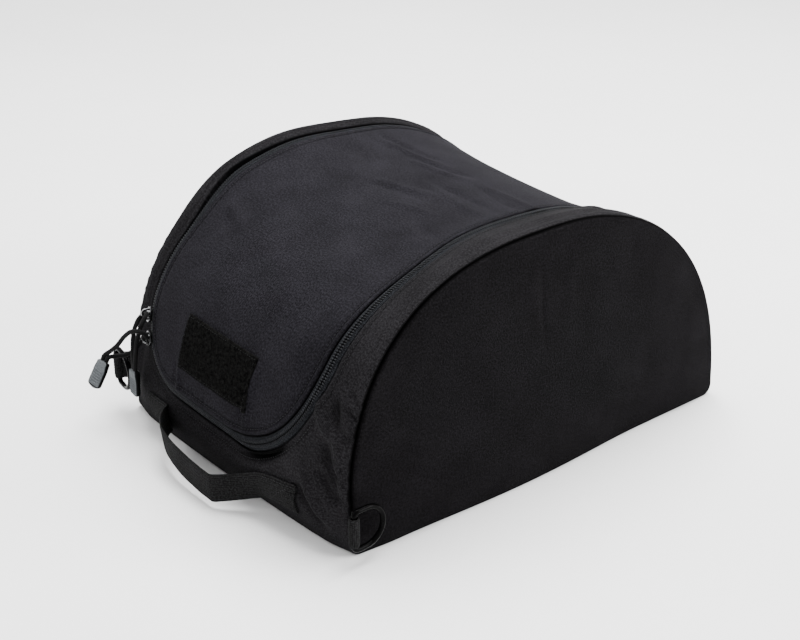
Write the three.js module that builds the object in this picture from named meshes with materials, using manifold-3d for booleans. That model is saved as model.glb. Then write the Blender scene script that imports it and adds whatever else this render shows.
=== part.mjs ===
// Soft helmet bag: an arched, half-round cloth bag with a zipped U-shaped lid.
// Millimetres. +Z is up, -Y is the front with the handle, +X is the right-hand end panel.
// The origin is the middle of the underside.
import * as THREE from 'three';
import Module from 'manifold-3d';

const wasm = await Module();
wasm.setup();

// Overall cloth form
const WIDTH = 310;
const DEPTH = 410;
const HEIGHT = 214;
const FRONT_FOOT = 5;
const BACK_FOOT = 12;
const FRONT_POWER = 2.57;
const BACK_POWER = 2.32;
const LEAN = 13;
const HALF = WIDTH / 2;

// Cloth and webbing
const GAP = 0.3;
const END_THICK = 4;
const END_DOME = 5;
const END_CENTRE = 0.42;
const END_RINGS = [1, 0.84, 0.62, 0.36, 0.12];
const CLOTH = 3;
const BASE_THICK = 3;
const WEBBING = 25;
const WEBBING_THICK = 2;
const WEBBING_SEAT = 0.5;

// How the soft wall departs from the plain arch: the lid sags, the front bulges,
// and the left gusset stands fuller over its front shoulder
const SAG = { depth: 12.8, middle: 30, left: 185, right: 105, power: 2.5, rise: [140, 270], fall: [255, 85] };
const BULGE = { depth: 18, rise: [0, 45], fall: [111, 246], power: 3 };
const SHOULDER = { out: 5.5, from: 60, rise: [165, 240], fall: [285, 385] };
// The front panel's lower edge bows forward between the end panels
const BOW = { out: 4.5, power: 3, fade: [20, 60] };
// The padding of the end panels bellies out low down
const BELLY = { out: 5, middle: -30, reach: 138, high: 110 };

// Lid outline on the unrolled wall: x across, s along the wall from the front hem
const LID = { left: -121, right: 109, front: 62, backFromHem: 105, roundLeft: 58, roundRight: 84 };
// Behind the front corners both sides of the lid lean to the left, over a stretch of the wall
const DRIFT = { left: { by: -10, from: 170, over: 80 }, right: { by: -8, from: 230, over: 100 } };
const LID_COLUMNS = 10;
const CORNER_STEPS = 10;
const SIDE_STEPS = 26;
const BACK_SPREAD = 260;
const BAND_ROWS = [0, 0.22, 0.44, 0.64, 0.79, 0.9, 1];

// Zip: two tapes side by side, a little below the cloth
const TAPE = 5.7;
const ZIP_SINK = 0.8;
const TAPE_THICK = 1.6;
const COIL = { wide: 2.3, high: 0.5 };
const ZIP_WIDTH = 2 * TAPE + 3 * GAP;

// Hook-and-loop patch on the lid
const PATCH = { x: -6, s: 102, wide: 100, high: 41, lift: 0.5, thick: 1.8, columns: 8, rows: 4 };

// Sliders, as turns round the left front corner of the zip, in degrees
const SLIDER = { long: 13, wide: 8.6, plate: 2.4, nose: 3.2, sink: 1.1 };
const BRIDGE = { long: 9.8, high: 6.4, wide: 3, bar: 1.5, eye: 2.3, root: -0.6 };
const SLIDER_TURN = { upper: 18.5, lower: 35.5 };

// Pull cords and moulded grips
const CORD = 3.6;
const CORD_SIDES = 8;
const CORD_STEPS = 40;
const CORD_LEAD = 4;
const CORD_THROUGH = 3.4;
const GRIP = { long: 25, wide: 13, thick: 5, top: 8, edge: 1.6, strand: 2.1 };

// D-rings for 25 mm webbing, and the webbing loops that hold them
const RING = { tall: 37, long: 32, wire: 4.4, bend: 3.8, sides: 8 };
const TAB = { tall: 24.4, wall: 1.7, slack: 0.4, tail: 3.6 };
const RING_RIGHT = { x: 164, y: -210.5, z: 31, turn: 91, seam: [155.9, -204.6] };
const RING_LEFT = { x: -165.5, y: -211, z: 39, turn: -10, seam: [-155.9, -199.6] };

// Carry handle: s is the height along the wall, out the distance it stands off,
// upright turns it from lying along the wall (0) to hanging plumb (1)
const HANDLE = [
  { x: -106, s: 29, out: 0, upright: 0 },
  { x: -91, s: 29, out: 0, upright: 0 },
  { x: -76, s: 29, out: 0, upright: 0 },
  { x: -71, s: 28.5, out: 6.5, upright: 0.1 },
  { x: -63, s: 27.5, out: 14, upright: 0.25 },
  { x: -50, s: 26, out: 20.5, upright: 0.5 },
  { x: -28, s: 24, out: 24.5, upright: 0.75 },
  { x: -7, s: 22, out: 26, upright: 0.85 },
  { x: 14, s: 20.5, out: 26.5, upright: 0.85 },
  { x: 27, s: 20.5, out: 26.5, upright: 0.85 },
  { x: 35, s: 22, out: 21.5, upright: 0.7 },
  { x: 44, s: 24, out: 13, upright: 0.45 },
  { x: 54, s: 27, out: 5, upright: 0.2 },
  { x: 66, s: 31, out: 0, upright: 0 },
  { x: 84, s: 34, out: 0, upright: 0 },
  { x: 104, s: 35, out: 0, upright: 0 },
];

// Colours
const LID_GREY = { color: 0x3a3940, roughness: 0.9, metalness: 0 };
const GUSSET_GREY = { color: 0x36363a, roughness: 0.9, metalness: 0 };
const END_BLACK = { color: 0x1c1c1d, roughness: 0.92, metalness: 0 };
const LOOP_BLACK = { color: 0x0d0d0c, roughness: 1, metalness: 0 };
const WEB_BLACK = { color: 0x1e1f20, roughness: 0.8, metalness: 0 };
const TAPE_GREY = { color: 0x34353a, roughness: 0.7, metalness: 0 };
const NICKEL = { color: 0xb9bbbd, roughness: 0.25, metalness: 1 };
const RING_BLACK = { color: 0x161617, roughness: 0.25, metalness: 0.9 };
const CORD_BLACK = { color: 0x1a1a1b, roughness: 0.85, metalness: 0 };
const GRIP_GREY = { color: 0x63676b, roughness: 0.5, metalness: 0 };

const v3 = (x, y, z) => new THREE.Vector3(x, y, z);
const clamp01 = (t) => Math.min(1, Math.max(0, t));
const mix = (a, b, t) => a + (b - a) * t;
const rad = (degrees) => (degrees * Math.PI) / 180;

function ease(a, b, t) {
  const u = clamp01((t - a) / (b - a));
  return u * u * (3 - 2 * u);
}

// The arch as a list of points with the length walked so far: a quarter-round foot,
// a steep front half, a softer back half and the other foot.
function archTable() {
  const points = [];
  const footSteps = 8;
  const archSteps = 400;
  const foot = (round, i) => {
    const a = (i / footSteps) * (Math.PI / 2);
    return { out: DEPTH / 2 - round + round * Math.sin(a), z: round - round * Math.cos(a) };
  };
  for (let i = 0; i < footSteps; i += 1) {
    const { out, z } = foot(FRONT_FOOT, i);
    points.push({ y: -out, z });
  }
  for (let i = 0; i <= archSteps; i += 1) {
    const a = (i / archSteps) * Math.PI;
    const c = Math.cos(a);
    const power = 2 / (c > 0 ? FRONT_POWER : BACK_POWER);
    const y = -Math.sign(c) * Math.abs(c) ** power * (DEPTH / 2);
    const round = c > 0 ? FRONT_FOOT : BACK_FOOT;
    const z = round + Math.abs(Math.sin(a)) ** power * (HEIGHT - round);
    points.push({ y, z });
  }
  for (let i = footSteps - 1; i >= 0; i -= 1) {
    const { out, z } = foot(BACK_FOOT, i);
    points.push({ y: out, z });
  }
  let walked = 0;
  points.forEach((p, i) => {
    if (i > 0) {
      walked += Math.hypot(p.y - points[i - 1].y, p.z - points[i - 1].z);
    }
    p.s = walked;
  });
  return points;
}

const ARCH = archTable();
const HEM = ARCH[ARCH.length - 1].s;
const LID_BACK = HEM - LID.backFromHem;

function archPoint(s) {
  const last = ARCH.length - 1;
  let lo = 0;
  let hi = last;
  while (hi - lo > 1) {
    const mid = (lo + hi) >> 1;
    if (ARCH[mid].s <= s) {
      lo = mid;
    } else {
      hi = mid;
    }
  }
  const t = (s - ARCH[lo].s) / (ARCH[hi].s - ARCH[lo].s);
  return { y: mix(ARCH[lo].y, ARCH[hi].y, t), z: mix(ARCH[lo].z, ARCH[hi].z, t) };
}

function archAt(s) {
  const reach = 2;
  const a = archPoint(Math.max(0, s - reach));
  const b = archPoint(Math.min(HEM, s + reach));
  const long = Math.hypot(b.y - a.y, b.z - a.z);
  const p = archPoint(s);
  p.ny = -(b.z - a.z) / long;
  p.nz = (b.y - a.y) / long;
  if (s <= 0 || s >= HEM) {
    p.ny = 0;
    p.nz = -1;
  }
  return p;
}

// 1 along a stretch of the wall, with a soft start and a soft end
function stretch(rise, fall, s) {
  return ease(rise[0], rise[1], s) * (1 - ease(fall[0], fall[1], s));
}

function softness(x, s) {
  const v = Math.min(1, Math.abs(x) / HALF);
  const across = Math.min(1, Math.abs(x - SAG.middle) / (x < SAG.middle ? SAG.left : SAG.right));
  const sagFall = SAG.fall.map((fromHem) => HEM - fromHem);
  const sag = SAG.depth * (1 - across ** SAG.power) * stretch(SAG.rise, sagFall, s);
  const bulge = BULGE.depth * (1 - v ** BULGE.power) * stretch(BULGE.rise, BULGE.fall, s);
  const shoulder = SHOULDER.out * ease(SHOULDER.from, HALF, -x) * stretch(SHOULDER.rise, SHOULDER.fall, s);
  return bulge - sag + shoulder;
}

// How far the front panel stands forward near its lower edge
function bow(x, s) {
  const v = Math.min(1, Math.abs(x) / HALF);
  return BOW.out * (1 - v ** BOW.power) * (1 - ease(BOW.fade[0], BOW.fade[1], s));
}

// A point of the soft wall: x across, s along it, lift outward from its face
function wall(x, s, lift) {
  const a = archAt(s);
  const out = softness(x, s) + lift;
  const y = a.y + a.ny * out - bow(x, s);
  const z = a.z + a.nz * out;
  return v3(x, y - LEAN * (x / HALF) * clamp01(z / HEIGHT), z);
}

// A closed solid from points and triangles, turned so that its faces look outward
function solid(points, faces) {
  let volume = 0;
  faces.forEach(([a, b, c]) => {
    volume += points[a].dot(points[b].clone().cross(points[c]));
  });
  const index = [];
  faces.forEach(([a, b, c]) => {
    index.push(a, volume > 0 ? b : c, volume > 0 ? c : b);
  });
  const geometry = new THREE.BufferGeometry();
  const numbers = points.flatMap((p) => p.toArray());
  geometry.setAttribute('position', new THREE.Float32BufferAttribute(numbers, 3));
  geometry.setIndex(index);
  geometry.computeVertexNormals();
  return geometry;
}

// A cloth of real thickness from rows of points on its two faces.
// A ring closes each row on itself, like a collar round an opening.
function cloth(outer, inner, ring = false) {
  const rows = outer.length;
  const columns = outer[0].length;
  const points = [...outer.flat(), ...inner.flat()];
  const at = (face, i, j) => face * rows * columns + i * columns + (j % columns);
  const faces = [];
  const quad = (a, b, c, d) => faces.push([a, b, c], [a, c, d]);
  const across = ring ? columns : columns - 1;
  for (let i = 0; i < rows - 1; i += 1) {
    for (let j = 0; j < across; j += 1) {
      quad(at(0, i, j), at(0, i, j + 1), at(0, i + 1, j + 1), at(0, i + 1, j));
      quad(at(1, i, j), at(1, i + 1, j), at(1, i + 1, j + 1), at(1, i, j + 1));
    }
  }
  for (let j = 0; j < across; j += 1) {
    quad(at(0, 0, j + 1), at(0, 0, j), at(1, 0, j), at(1, 0, j + 1));
    quad(at(0, rows - 1, j), at(0, rows - 1, j + 1), at(1, rows - 1, j + 1), at(1, rows - 1, j));
  }
  if (!ring) {
    for (let i = 0; i < rows - 1; i += 1) {
      quad(at(0, i, 0), at(0, i + 1, 0), at(1, i + 1, 0), at(1, i, 0));
      const end = columns - 1;
      quad(at(0, i + 1, end), at(0, i, end), at(1, i, end), at(1, i + 1, end));
    }
  }
  return solid(points, faces);
}

// A solid skinned over equal cross-sections, closed on itself or capped at both ends
function skin(sections, closed) {
  const sides = sections[0].length;
  const count = sections.length;
  const points = sections.flat();
  const at = (i, j) => (i % count) * sides + (j % sides);
  const faces = [];
  const spans = closed ? count : count - 1;
  for (let i = 0; i < spans; i += 1) {
    for (let j = 0; j < sides; j += 1) {
      faces.push([at(i, j), at(i + 1, j), at(i + 1, j + 1)], [at(i, j), at(i + 1, j + 1), at(i, j + 1)]);
    }
  }
  if (!closed) {
    for (let j = 1; j < sides - 1; j += 1) {
      const end = count - 1;
      faces.push([at(0, 0), at(0, j), at(0, j + 1)], [at(end, 0), at(end, j + 1), at(end, j)]);
    }
  }
  return solid(points, faces);
}

// Stations of the lid's edge, from the back right corner round the front to the back left.
// Each has its place on the unrolled wall and the direction that leads away from the lid.
function lidEdge() {
  const right = [];
  const left = [];
  const rightCentre = { x: LID.right - LID.roundRight, s: LID.front + LID.roundRight };
  const leftCentre = { x: LID.left + LID.roundLeft, s: LID.front + LID.roundLeft };
  const station = (start, drift, side, s) => {
    const reach = 1;
    const x = (at) => start + drift.by * ease(drift.from, drift.from + drift.over, at);
    const slope = (x(s + reach) - x(s - reach)) / (2 * reach);
    const long = Math.hypot(1, slope);
    return { x: x(s), s, nx: side / long, ns: (-side * slope) / long, turn: 0 };
  };
  for (let i = 0; i < SIDE_STEPS; i += 1) {
    const t = i / SIDE_STEPS;
    right.push(station(LID.right, DRIFT.right, 1, mix(LID_BACK, rightCentre.s, t)));
    left.push(station(LID.left, DRIFT.left, -1, mix(LID_BACK, leftCentre.s, t)));
  }
  for (let i = 0; i <= CORNER_STEPS; i += 1) {
    const turn = (i / CORNER_STEPS) * 90;
    const c = Math.cos(rad(turn));
    const n = Math.sin(rad(turn));
    right.push({
      x: rightCentre.x + LID.roundRight * c, s: rightCentre.s - LID.roundRight * n, nx: c, ns: -n, turn,
    });
    left.push({
      x: leftCentre.x - LID.roundLeft * c, s: leftCentre.s - LID.roundLeft * n, nx: -c, ns: -n, turn,
    });
  }
  const front = [];
  for (let j = 1; j < LID_COLUMNS; j += 1) {
    const x = mix(rightCentre.x, leftCentre.x, j / LID_COLUMNS);
    front.push({ x, s: LID.front, nx: 0, ns: -1, turn: 90 });
  }
  return { right, left, front };
}

const EDGE = lidEdge();
const PATH = [...EDGE.right, ...EDGE.front, ...[...EDGE.left].reverse()];
const beside = (station, away) => ({ x: station.x + station.nx * away, s: station.s + station.ns * away });

function lid() {
  const face = (lift) => EDGE.left.map((a, i) => {
    const b = EDGE.right[i];
    const row = [];
    for (let j = 0; j <= LID_COLUMNS; j += 1) {
      const t = j / LID_COLUMNS;
      row.push(wall(mix(a.x, b.x, t), mix(a.s, b.s, t), lift));
    }
    return row;
  });
  return cloth(face(0), face(-CLOTH));
}

// One zip tape: a flat strip that follows the lid's edge, thicker along the toothed side
function zipTape(from, to, toothed) {
  const section = (station) => {
    const near = beside(station, from);
    const far = beside(station, to);
    const ridge = beside(station, toothed === 'far' ? to - COIL.wide : from + COIL.wide);
    const top = (p, raise) => wall(p.x, p.s, -ZIP_SINK + raise);
    const raiseNear = toothed === 'far' ? 0 : COIL.high;
    const raiseFar = toothed === 'far' ? COIL.high : 0;
    return [
      top(near, raiseNear), top(ridge, 0), top(far, raiseFar),
      wall(far.x, far.s, -ZIP_SINK - TAPE_THICK), wall(near.x, near.s, -ZIP_SINK - TAPE_THICK),
    ];
  };
  return skin(PATH.map(section), false);
}

// Front panel, both gussets and back panel: one collar of cloth round the lid's opening
function bodyBand() {
  const edge = HALF - END_THICK - GAP;
  const opening = PATH.map((station) => beside(station, ZIP_WIDTH));
  const hem = PATH.map((station, i) => {
    const side = i < EDGE.right.length ? 1 : -1;
    const corner = side > 0 ? LID.right - LID.roundRight : LID.left + LID.roundLeft;
    if (station.turn === 0) {
      const toBack = clamp01(1 - (LID_BACK - station.s) / BACK_SPREAD);
      return { x: side * edge, s: station.s + LID.backFromHem * toBack * toBack };
    }
    if (station.turn < 45) {
      const start = LID.front + (side > 0 ? LID.roundRight : LID.roundLeft);
      return { x: side * edge, s: start * (1 - station.turn / 45) };
    }
    if (station.nx === 0) {
      return { x: station.x, s: 0 };
    }
    return { x: mix(side * edge, corner, station.turn / 45 - 1), s: 0 };
  });
  const backSteps = LID_COLUMNS + 2;
  const backRight = opening[0];
  const backLeft = opening[opening.length - 1];
  backRight.s = LID_BACK + GAP;
  backLeft.s = LID_BACK + GAP;
  for (let j = 1; j < backSteps; j += 1) {
    const t = j / backSteps;
    const x = mix(backLeft.x, backRight.x, t);
    opening.push({ x, s: LID_BACK + GAP });
    hem.push({ x: mix(-edge, edge, t), s: HEM });
  }
  const face = (lift) => BAND_ROWS.map((t) => opening.map((p, j) => {
    const q = hem[j];
    return wall(mix(p.x, q.x, t), mix(p.s, q.s, t), lift);
  }));
  return cloth(face(0), face(-CLOTH), true);
}

// How far the padding of an end panel stands out low down
function belly(y, z) {
  const along = Math.max(0, 1 - ((y - BELLY.middle) / BELLY.reach) ** 2);
  return BELLY.out * along ** 2 * (1 - ease(0, BELLY.high, z));
}

// End panel: a padded half-round plate, domed outward, its outline the arch itself
function endPanel(side) {
  const outline = [];
  const archSteps = 46;
  const footSteps = 3;
  const frontFoot = (FRONT_FOOT * Math.PI) / 2;
  const backFoot = (BACK_FOOT * Math.PI) / 2;
  for (let i = 0; i < footSteps; i += 1) {
    outline.push(wall(side * HALF, (i / footSteps) * frontFoot, 0));
  }
  for (let i = 0; i <= archSteps; i += 1) {
    outline.push(wall(side * HALF, mix(frontFoot, HEM - backFoot, i / archSteps), 0));
  }
  for (let i = footSteps - 1; i >= 0; i -= 1) {
    outline.push(wall(side * HALF, HEM - (i / footSteps) * backFoot, 0));
  }
  const first = outline[0];
  const last = outline[outline.length - 1];
  const baseSteps = 10;
  for (let i = 1; i < baseSteps; i += 1) {
    outline.push(last.clone().lerp(first, i / baseSteps));
  }
  const centre = v3(0, 0, HEIGHT * END_CENTRE);
  const face = (stand) => END_RINGS.map((r) => outline.map((p) => {
    const y = mix(centre.y, p.y, r);
    const z = mix(centre.z, p.z, r);
    return v3(side * (HALF + END_DOME * (1 - r * r) + stand(y, z)), y, z);
  }));
  const outer = face(belly);
  const inner = face(() => -END_THICK);
  const points = [...outer.flat(), ...inner.flat()];
  const columns = outline.length;
  const count = END_RINGS.length;
  const at = (f, i, j) => f * count * columns + i * columns + (j % columns);
  points.push(v3(side * (HALF + END_DOME), centre.y, centre.z));
  points.push(v3(side * (HALF - END_THICK + END_DOME), centre.y, centre.z));
  const hubOut = points.length - 2;
  const hubIn = points.length - 1;
  const faces = [];
  const quad = (a, b, c, d) => faces.push([a, b, c], [a, c, d]);
  for (let j = 0; j < columns; j += 1) {
    for (let i = 0; i < count - 1; i += 1) {
      quad(at(0, i, j), at(0, i, j + 1), at(0, i + 1, j + 1), at(0, i + 1, j));
      quad(at(1, i, j), at(1, i + 1, j), at(1, i + 1, j + 1), at(1, i, j + 1));
    }
    faces.push([at(0, count - 1, j), at(0, count - 1, j + 1), hubOut]);
    faces.push([at(1, count - 1, j + 1), at(1, count - 1, j), hubIn]);
    quad(at(0, 0, j + 1), at(0, 0, j), at(1, 0, j), at(1, 0, j + 1));
  }
  return solid(points, faces);
}

// Base panel: a flat plate whose front edge bows with the front panel
function basePanel() {
  const edge = HALF - END_THICK - GAP;
  const front = -DEPTH / 2 + FRONT_FOOT + GAP;
  const back = DEPTH / 2 - BACK_FOOT - GAP;
  const frontSteps = 16;
  const plan = new THREE.Shape();
  plan.moveTo(edge, back);
  plan.lineTo(-edge, back);
  for (let i = 0; i <= frontSteps; i += 1) {
    const x = mix(-edge, edge, i / frontSteps);
    plan.lineTo(x, front - bow(x, 0));
  }
  plan.closePath();
  return new THREE.ExtrudeGeometry(plan, { depth: BASE_THICK, bevelEnabled: false, steps: 1 });
}

function loopPatch() {
  const face = (lift) => {
    const rows = [];
    for (let i = 0; i <= PATCH.rows; i += 1) {
      const s = PATCH.s + PATCH.high * (i / PATCH.rows - 0.5);
      const row = [];
      for (let j = 0; j <= PATCH.columns; j += 1) {
        row.push(wall(PATCH.x + PATCH.wide * (j / PATCH.columns - 0.5), s, lift));
      }
      rows.push(row);
    }
    return rows;
  };
  return cloth(face(PATCH.lift + PATCH.thick), face(PATCH.lift));
}

// Webbing strap, sewn down at both ends and standing away from the front panel between
function handle() {
  const seat = WEBBING_SEAT + WEBBING_THICK / 2;
  const columns = 4;
  const straightBy = 10;
  const strips = HANDLE.map((row) => {
    const at = (t) => wall(row.x, row.s + (t - 0.5) * WEBBING, seat);
    const low = at(0);
    const high = at(1);
    const middle = (low.y + high.y) / 2;
    const strip = [];
    for (let k = 0; k <= columns; k += 1) {
      const t = k / columns;
      const taut = low.clone().lerp(high, t);
      taut.y = mix(taut.y, middle, row.upright);
      const p = at(t).lerp(taut, clamp01(row.out / straightBy));
      p.y -= row.out;
      strip.push(p);
    }
    return strip;
  });
  const face = (side) => strips.map((strip, i) => {
    const before = strips[Math.max(0, i - 1)][columns / 2];
    const after = strips[Math.min(strips.length - 1, i + 1)][columns / 2];
    const along = after.clone().sub(before).normalize();
    const up = strip[columns].clone().sub(strip[0]).normalize();
    const out = along.cross(up).normalize();
    return strip.map((p) => p.clone().addScaledVector(out, (side * WEBBING_THICK) / 2));
  });
  return cloth(face(1), face(-1));
}

// D-ring: round wire with one straight bar, standing on that bar's axis at its own origin
function dRing() {
  const half = RING.tall / 2 - RING.wire / 2;
  const long = RING.long - RING.wire;
  const flat = long - half;
  const path = [];
  const barSteps = 3;
  const bendSteps = 3;
  const bowSteps = 14;
  for (let i = 0; i <= barSteps; i += 1) {
    path.push({ u: 0, v: mix(-(half - RING.bend), half - RING.bend, i / barSteps) });
  }
  for (let i = 1; i <= bendSteps; i += 1) {
    const a = (i / bendSteps) * (Math.PI / 2);
    const u = RING.bend * (1 - Math.cos(a));
    path.push({ u, v: half - RING.bend + RING.bend * Math.sin(a) });
  }
  for (let i = 0; i <= bowSteps; i += 1) {
    const a = Math.PI / 2 - (i / bowSteps) * Math.PI;
    path.push({ u: flat + half * Math.cos(a), v: half * Math.sin(a) });
  }
  for (let i = 0; i < bendSteps; i += 1) {
    const a = Math.PI / 2 - (i / bendSteps) * (Math.PI / 2);
    const u = RING.bend * (1 - Math.cos(a));
    path.push({ u, v: -(half - RING.bend + RING.bend * Math.sin(a)) });
  }
  const sections = path.map((p, i) => {
    const before = path[(i + path.length - 1) % path.length];
    const after = path[(i + 1) % path.length];
    const long2 = Math.hypot(after.u - before.u, after.v - before.v);
    const nu = (after.v - before.v) / long2;
    const nv = -(after.u - before.u) / long2;
    const section = [];
    for (let k = 0; k < RING.sides; k += 1) {
      const a = ((k + 0.5) / RING.sides) * 2 * Math.PI;
      const across = (RING.wire / 2) * Math.cos(a);
      const up = (RING.wire / 2) * Math.sin(a);
      section.push(v3(p.u + nu * across, up, p.v + nv * across));
    }
    return section;
  });
  return skin(sections, true);
}

// Webbing tab: wraps the ring's bar, and its doubled tail runs to the corner seam
function ringTab(ring) {
  const inner = RING.wire / 2 + TAB.slack;
  const outer = inner + TAB.wall;
  const toSeam = v3(ring.seam[0] - ring.x, ring.seam[1] - ring.y, 0);
  const long = toSeam.length();
  const heading = Math.atan2(toSeam.y, toSeam.x);
  const open = Math.asin(TAB.tail / 2 / outer);
  const loopSteps = 16;
  const outline = new THREE.Shape();
  const c = Math.cos(heading);
  const n = Math.sin(heading);
  const turnBy = (u, v) => [u * c - v * n, u * n + v * c];
  // The tail's end is cut to lie along the end panel's face
  const cut = (v) => long + v * Math.tan(heading);
  outline.moveTo(...turnBy(cut(TAB.tail / 2), TAB.tail / 2));
  for (let i = 0; i <= loopSteps; i += 1) {
    const a = mix(open, 2 * Math.PI - open, i / loopSteps);
    outline.lineTo(...turnBy(outer * Math.cos(a), outer * Math.sin(a)));
  }
  outline.lineTo(...turnBy(cut(-TAB.tail / 2), -TAB.tail / 2));
  outline.closePath();
  const bore = new THREE.Path();
  for (let i = 0; i < loopSteps; i += 1) {
    const a = (-(i + 0.5) / loopSteps) * 2 * Math.PI;
    const r = inner / Math.cos(Math.PI / loopSteps);
    if (i === 0) {
      bore.moveTo(r * Math.cos(a), r * Math.sin(a));
    } else {
      bore.lineTo(r * Math.cos(a), r * Math.sin(a));
    }
  }
  bore.closePath();
  outline.holes.push(bore);
  const tab = new THREE.ExtrudeGeometry(outline, { depth: TAB.tall, bevelEnabled: false, steps: 1 });
  tab.translate(0, 0, -TAB.tall / 2);
  return tab;
}

// Welded copy of a geometry for joining solids
function toManifold(geometry) {
  const position = geometry.getAttribute('position');
  const source = geometry.index ? Array.from(geometry.index.array) : [...Array(position.count).keys()];
  const seen = new Map();
  const vertices = [];
  const triangles = source.map((k) => {
    const p = [position.getX(k), position.getY(k), position.getZ(k)];
    const key = p.map((value) => value.toFixed(4)).join(' ');
    if (!seen.has(key)) {
      seen.set(key, vertices.length / 3);
      vertices.push(...p);
    }
    return seen.get(key);
  });
  const kept = [];
  for (let i = 0; i < triangles.length; i += 3) {
    const [a, b, c] = triangles.slice(i, i + 3);
    if (a !== b && b !== c && c !== a) {
      kept.push(a, b, c);
    }
  }
  const mesh = new wasm.Mesh({
    numProp: 3, vertProperties: new Float32Array(vertices), triVerts: new Uint32Array(kept),
  });
  return new wasm.Manifold(mesh);
}

function joined(first, second) {
  const mesh = toManifold(first).add(toManifold(second)).getMesh();
  const geometry = new THREE.BufferGeometry();
  geometry.setAttribute('position', new THREE.BufferAttribute(new Float32Array(mesh.vertProperties), 3));
  geometry.setIndex(new THREE.BufferAttribute(new Uint32Array(mesh.triVerts), 1));
  geometry.computeVertexNormals();
  return geometry;
}

// Slider: a tapered top plate with a bridge over it, long way along the zip
function slider() {
  const plan = new THREE.Shape();
  const a = SLIDER.long / 2;
  const b = SLIDER.wide / 2;
  const n = SLIDER.nose / 2;
  plan.moveTo(-a, -n);
  plan.lineTo(-a * 0.3, -b);
  plan.lineTo(a * 0.75, -b);
  plan.lineTo(a, -n);
  plan.lineTo(a, n);
  plan.lineTo(a * 0.75, b);
  plan.lineTo(-a * 0.3, b);
  plan.lineTo(-a, n);
  plan.closePath();
  const plate = new THREE.ExtrudeGeometry(plan, { depth: SLIDER.plate, bevelEnabled: false, steps: 1 });
  const bow = new THREE.Shape();
  const steps = 8;
  const arc = (r, h, i) => [r * Math.cos((i / steps) * Math.PI), h * Math.sin((i / steps) * Math.PI)];
  bow.moveTo(BRIDGE.long / 2, BRIDGE.root);
  for (let i = 0; i <= steps; i += 1) {
    bow.lineTo(...arc(BRIDGE.long / 2, BRIDGE.high, i));
  }
  bow.lineTo(-BRIDGE.long / 2, BRIDGE.root);
  bow.lineTo(-(BRIDGE.long / 2 - BRIDGE.bar), BRIDGE.root);
  for (let i = steps; i >= 0; i -= 1) {
    bow.lineTo(...arc(BRIDGE.long / 2 - BRIDGE.bar, BRIDGE.high - BRIDGE.bar, i));
  }
  bow.lineTo(BRIDGE.long / 2 - BRIDGE.bar, BRIDGE.root);
  bow.closePath();
  const bridge = new THREE.ExtrudeGeometry(bow, { depth: BRIDGE.wide, bevelEnabled: false, steps: 1 });
  bridge.translate(0, 0, -BRIDGE.wide / 2);
  bridge.rotateX(Math.PI / 2);
  bridge.translate(0, 0, SLIDER.plate);
  return joined(plate, bridge);
}

// Where a slider sits: its middle on the zip, with the zip's run, its width and the way out
function sliderSeat(turn) {
  const away = TAPE + 1.5 * GAP;
  const centre = { x: LID.left + LID.roundLeft, s: LID.front + LID.roundLeft };
  const on = (degrees, extra) => {
    const r = LID.roundLeft + away + extra;
    const x = centre.x - r * Math.cos(rad(degrees));
    return wall(x, centre.s - r * Math.sin(rad(degrees)), 0);
  };
  const step = 4;
  const run = on(turn + step, 0).sub(on(turn - step, 0)).normalize();
  const wide = on(turn, -step).sub(on(turn, step)).normalize();
  const out = run.clone().cross(wide).normalize();
  wide.copy(out.clone().cross(run));
  const foot = on(turn, 0).addScaledVector(out, SLIDER.sink - ZIP_SINK);
  return { run, wide, out, foot, eye: foot.clone().addScaledVector(out, SLIDER.plate + BRIDGE.eye) };
}

// Moulded grip: a flat rounded tongue, narrow where the cord enters, its top at its own origin
function grip() {
  const sections = [
    { along: 0, wide: GRIP.top, thick: GRIP.thick },
    { along: 3, wide: GRIP.top + 1, thick: GRIP.thick },
    { along: 8, wide: GRIP.wide, thick: GRIP.thick * 0.86 },
    { along: GRIP.long - 4, wide: GRIP.wide, thick: GRIP.thick * 0.8 },
    { along: GRIP.long - 1.2, wide: GRIP.wide - 2.5, thick: GRIP.thick * 0.74 },
    { along: GRIP.long, wide: GRIP.wide - 5.5, thick: GRIP.thick * 0.55 },
  ];
  return skin(sections.map(({ along, wide, thick }) => {
    const a = wide / 2;
    const b = thick / 2;
    const e = Math.min(GRIP.edge, b * 0.6);
    const corners = [
      [a - e, b], [e - a, b], [-a, b - e], [-a, e - b],
      [e - a, -b], [a - e, -b], [a, e - b], [a, b - e],
    ];
    return corners.map(([x, y]) => v3(x, y, -along));
  }), false);
}

// The two pulls: where each grip hangs (top and lower end), which way its broad face looks,
// and the points each strand passes between slider and grip
const PULLS = {
  upper: {
    top: v3(-121, -220.6, 54.5), end: v3(-122, -221.2, 29.5), face: v3(-0.25, -0.95, 0.1),
    first: [v3(-129.8, -207.5, 95), v3(-127, -214, 88.5), v3(-124.6, -217.8, 80), v3(-123.9, -219.2, 69)],
    second: [v3(-118.4, -208.2, 100), v3(-117.2, -213.9, 93), v3(-118.6, -217.2, 82), v3(-119, -219.4, 69)],
  },
  lower: {
    top: v3(-139, -238.5, 61.4), end: v3(-141.5, -249.5, 40), face: v3(-0.4, 0.9, -0.3),
    first: [v3(-122.8, -213, 75.5), v3(-127.4, -216.8, 68.5), v3(-131.5, -223, 65), v3(-134.6, -230, 65)],
    second: [
      v3(-110.8, -213.5, 89), v3(-112, -219, 93), v3(-117.5, -222.8, 92), v3(-124.6, -226, 85.4),
      v3(-131.2, -229.6, 76), v3(-136.6, -234, 69.8),
    ],
  },
};

function gripFrame(pull) {
  const down = pull.end.clone().sub(pull.top).normalize();
  const face = pull.face.clone();
  face.addScaledVector(down, -face.dot(down)).normalize();
  const wide = face.clone().cross(down).normalize();
  return { down, face, wide };
}

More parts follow.
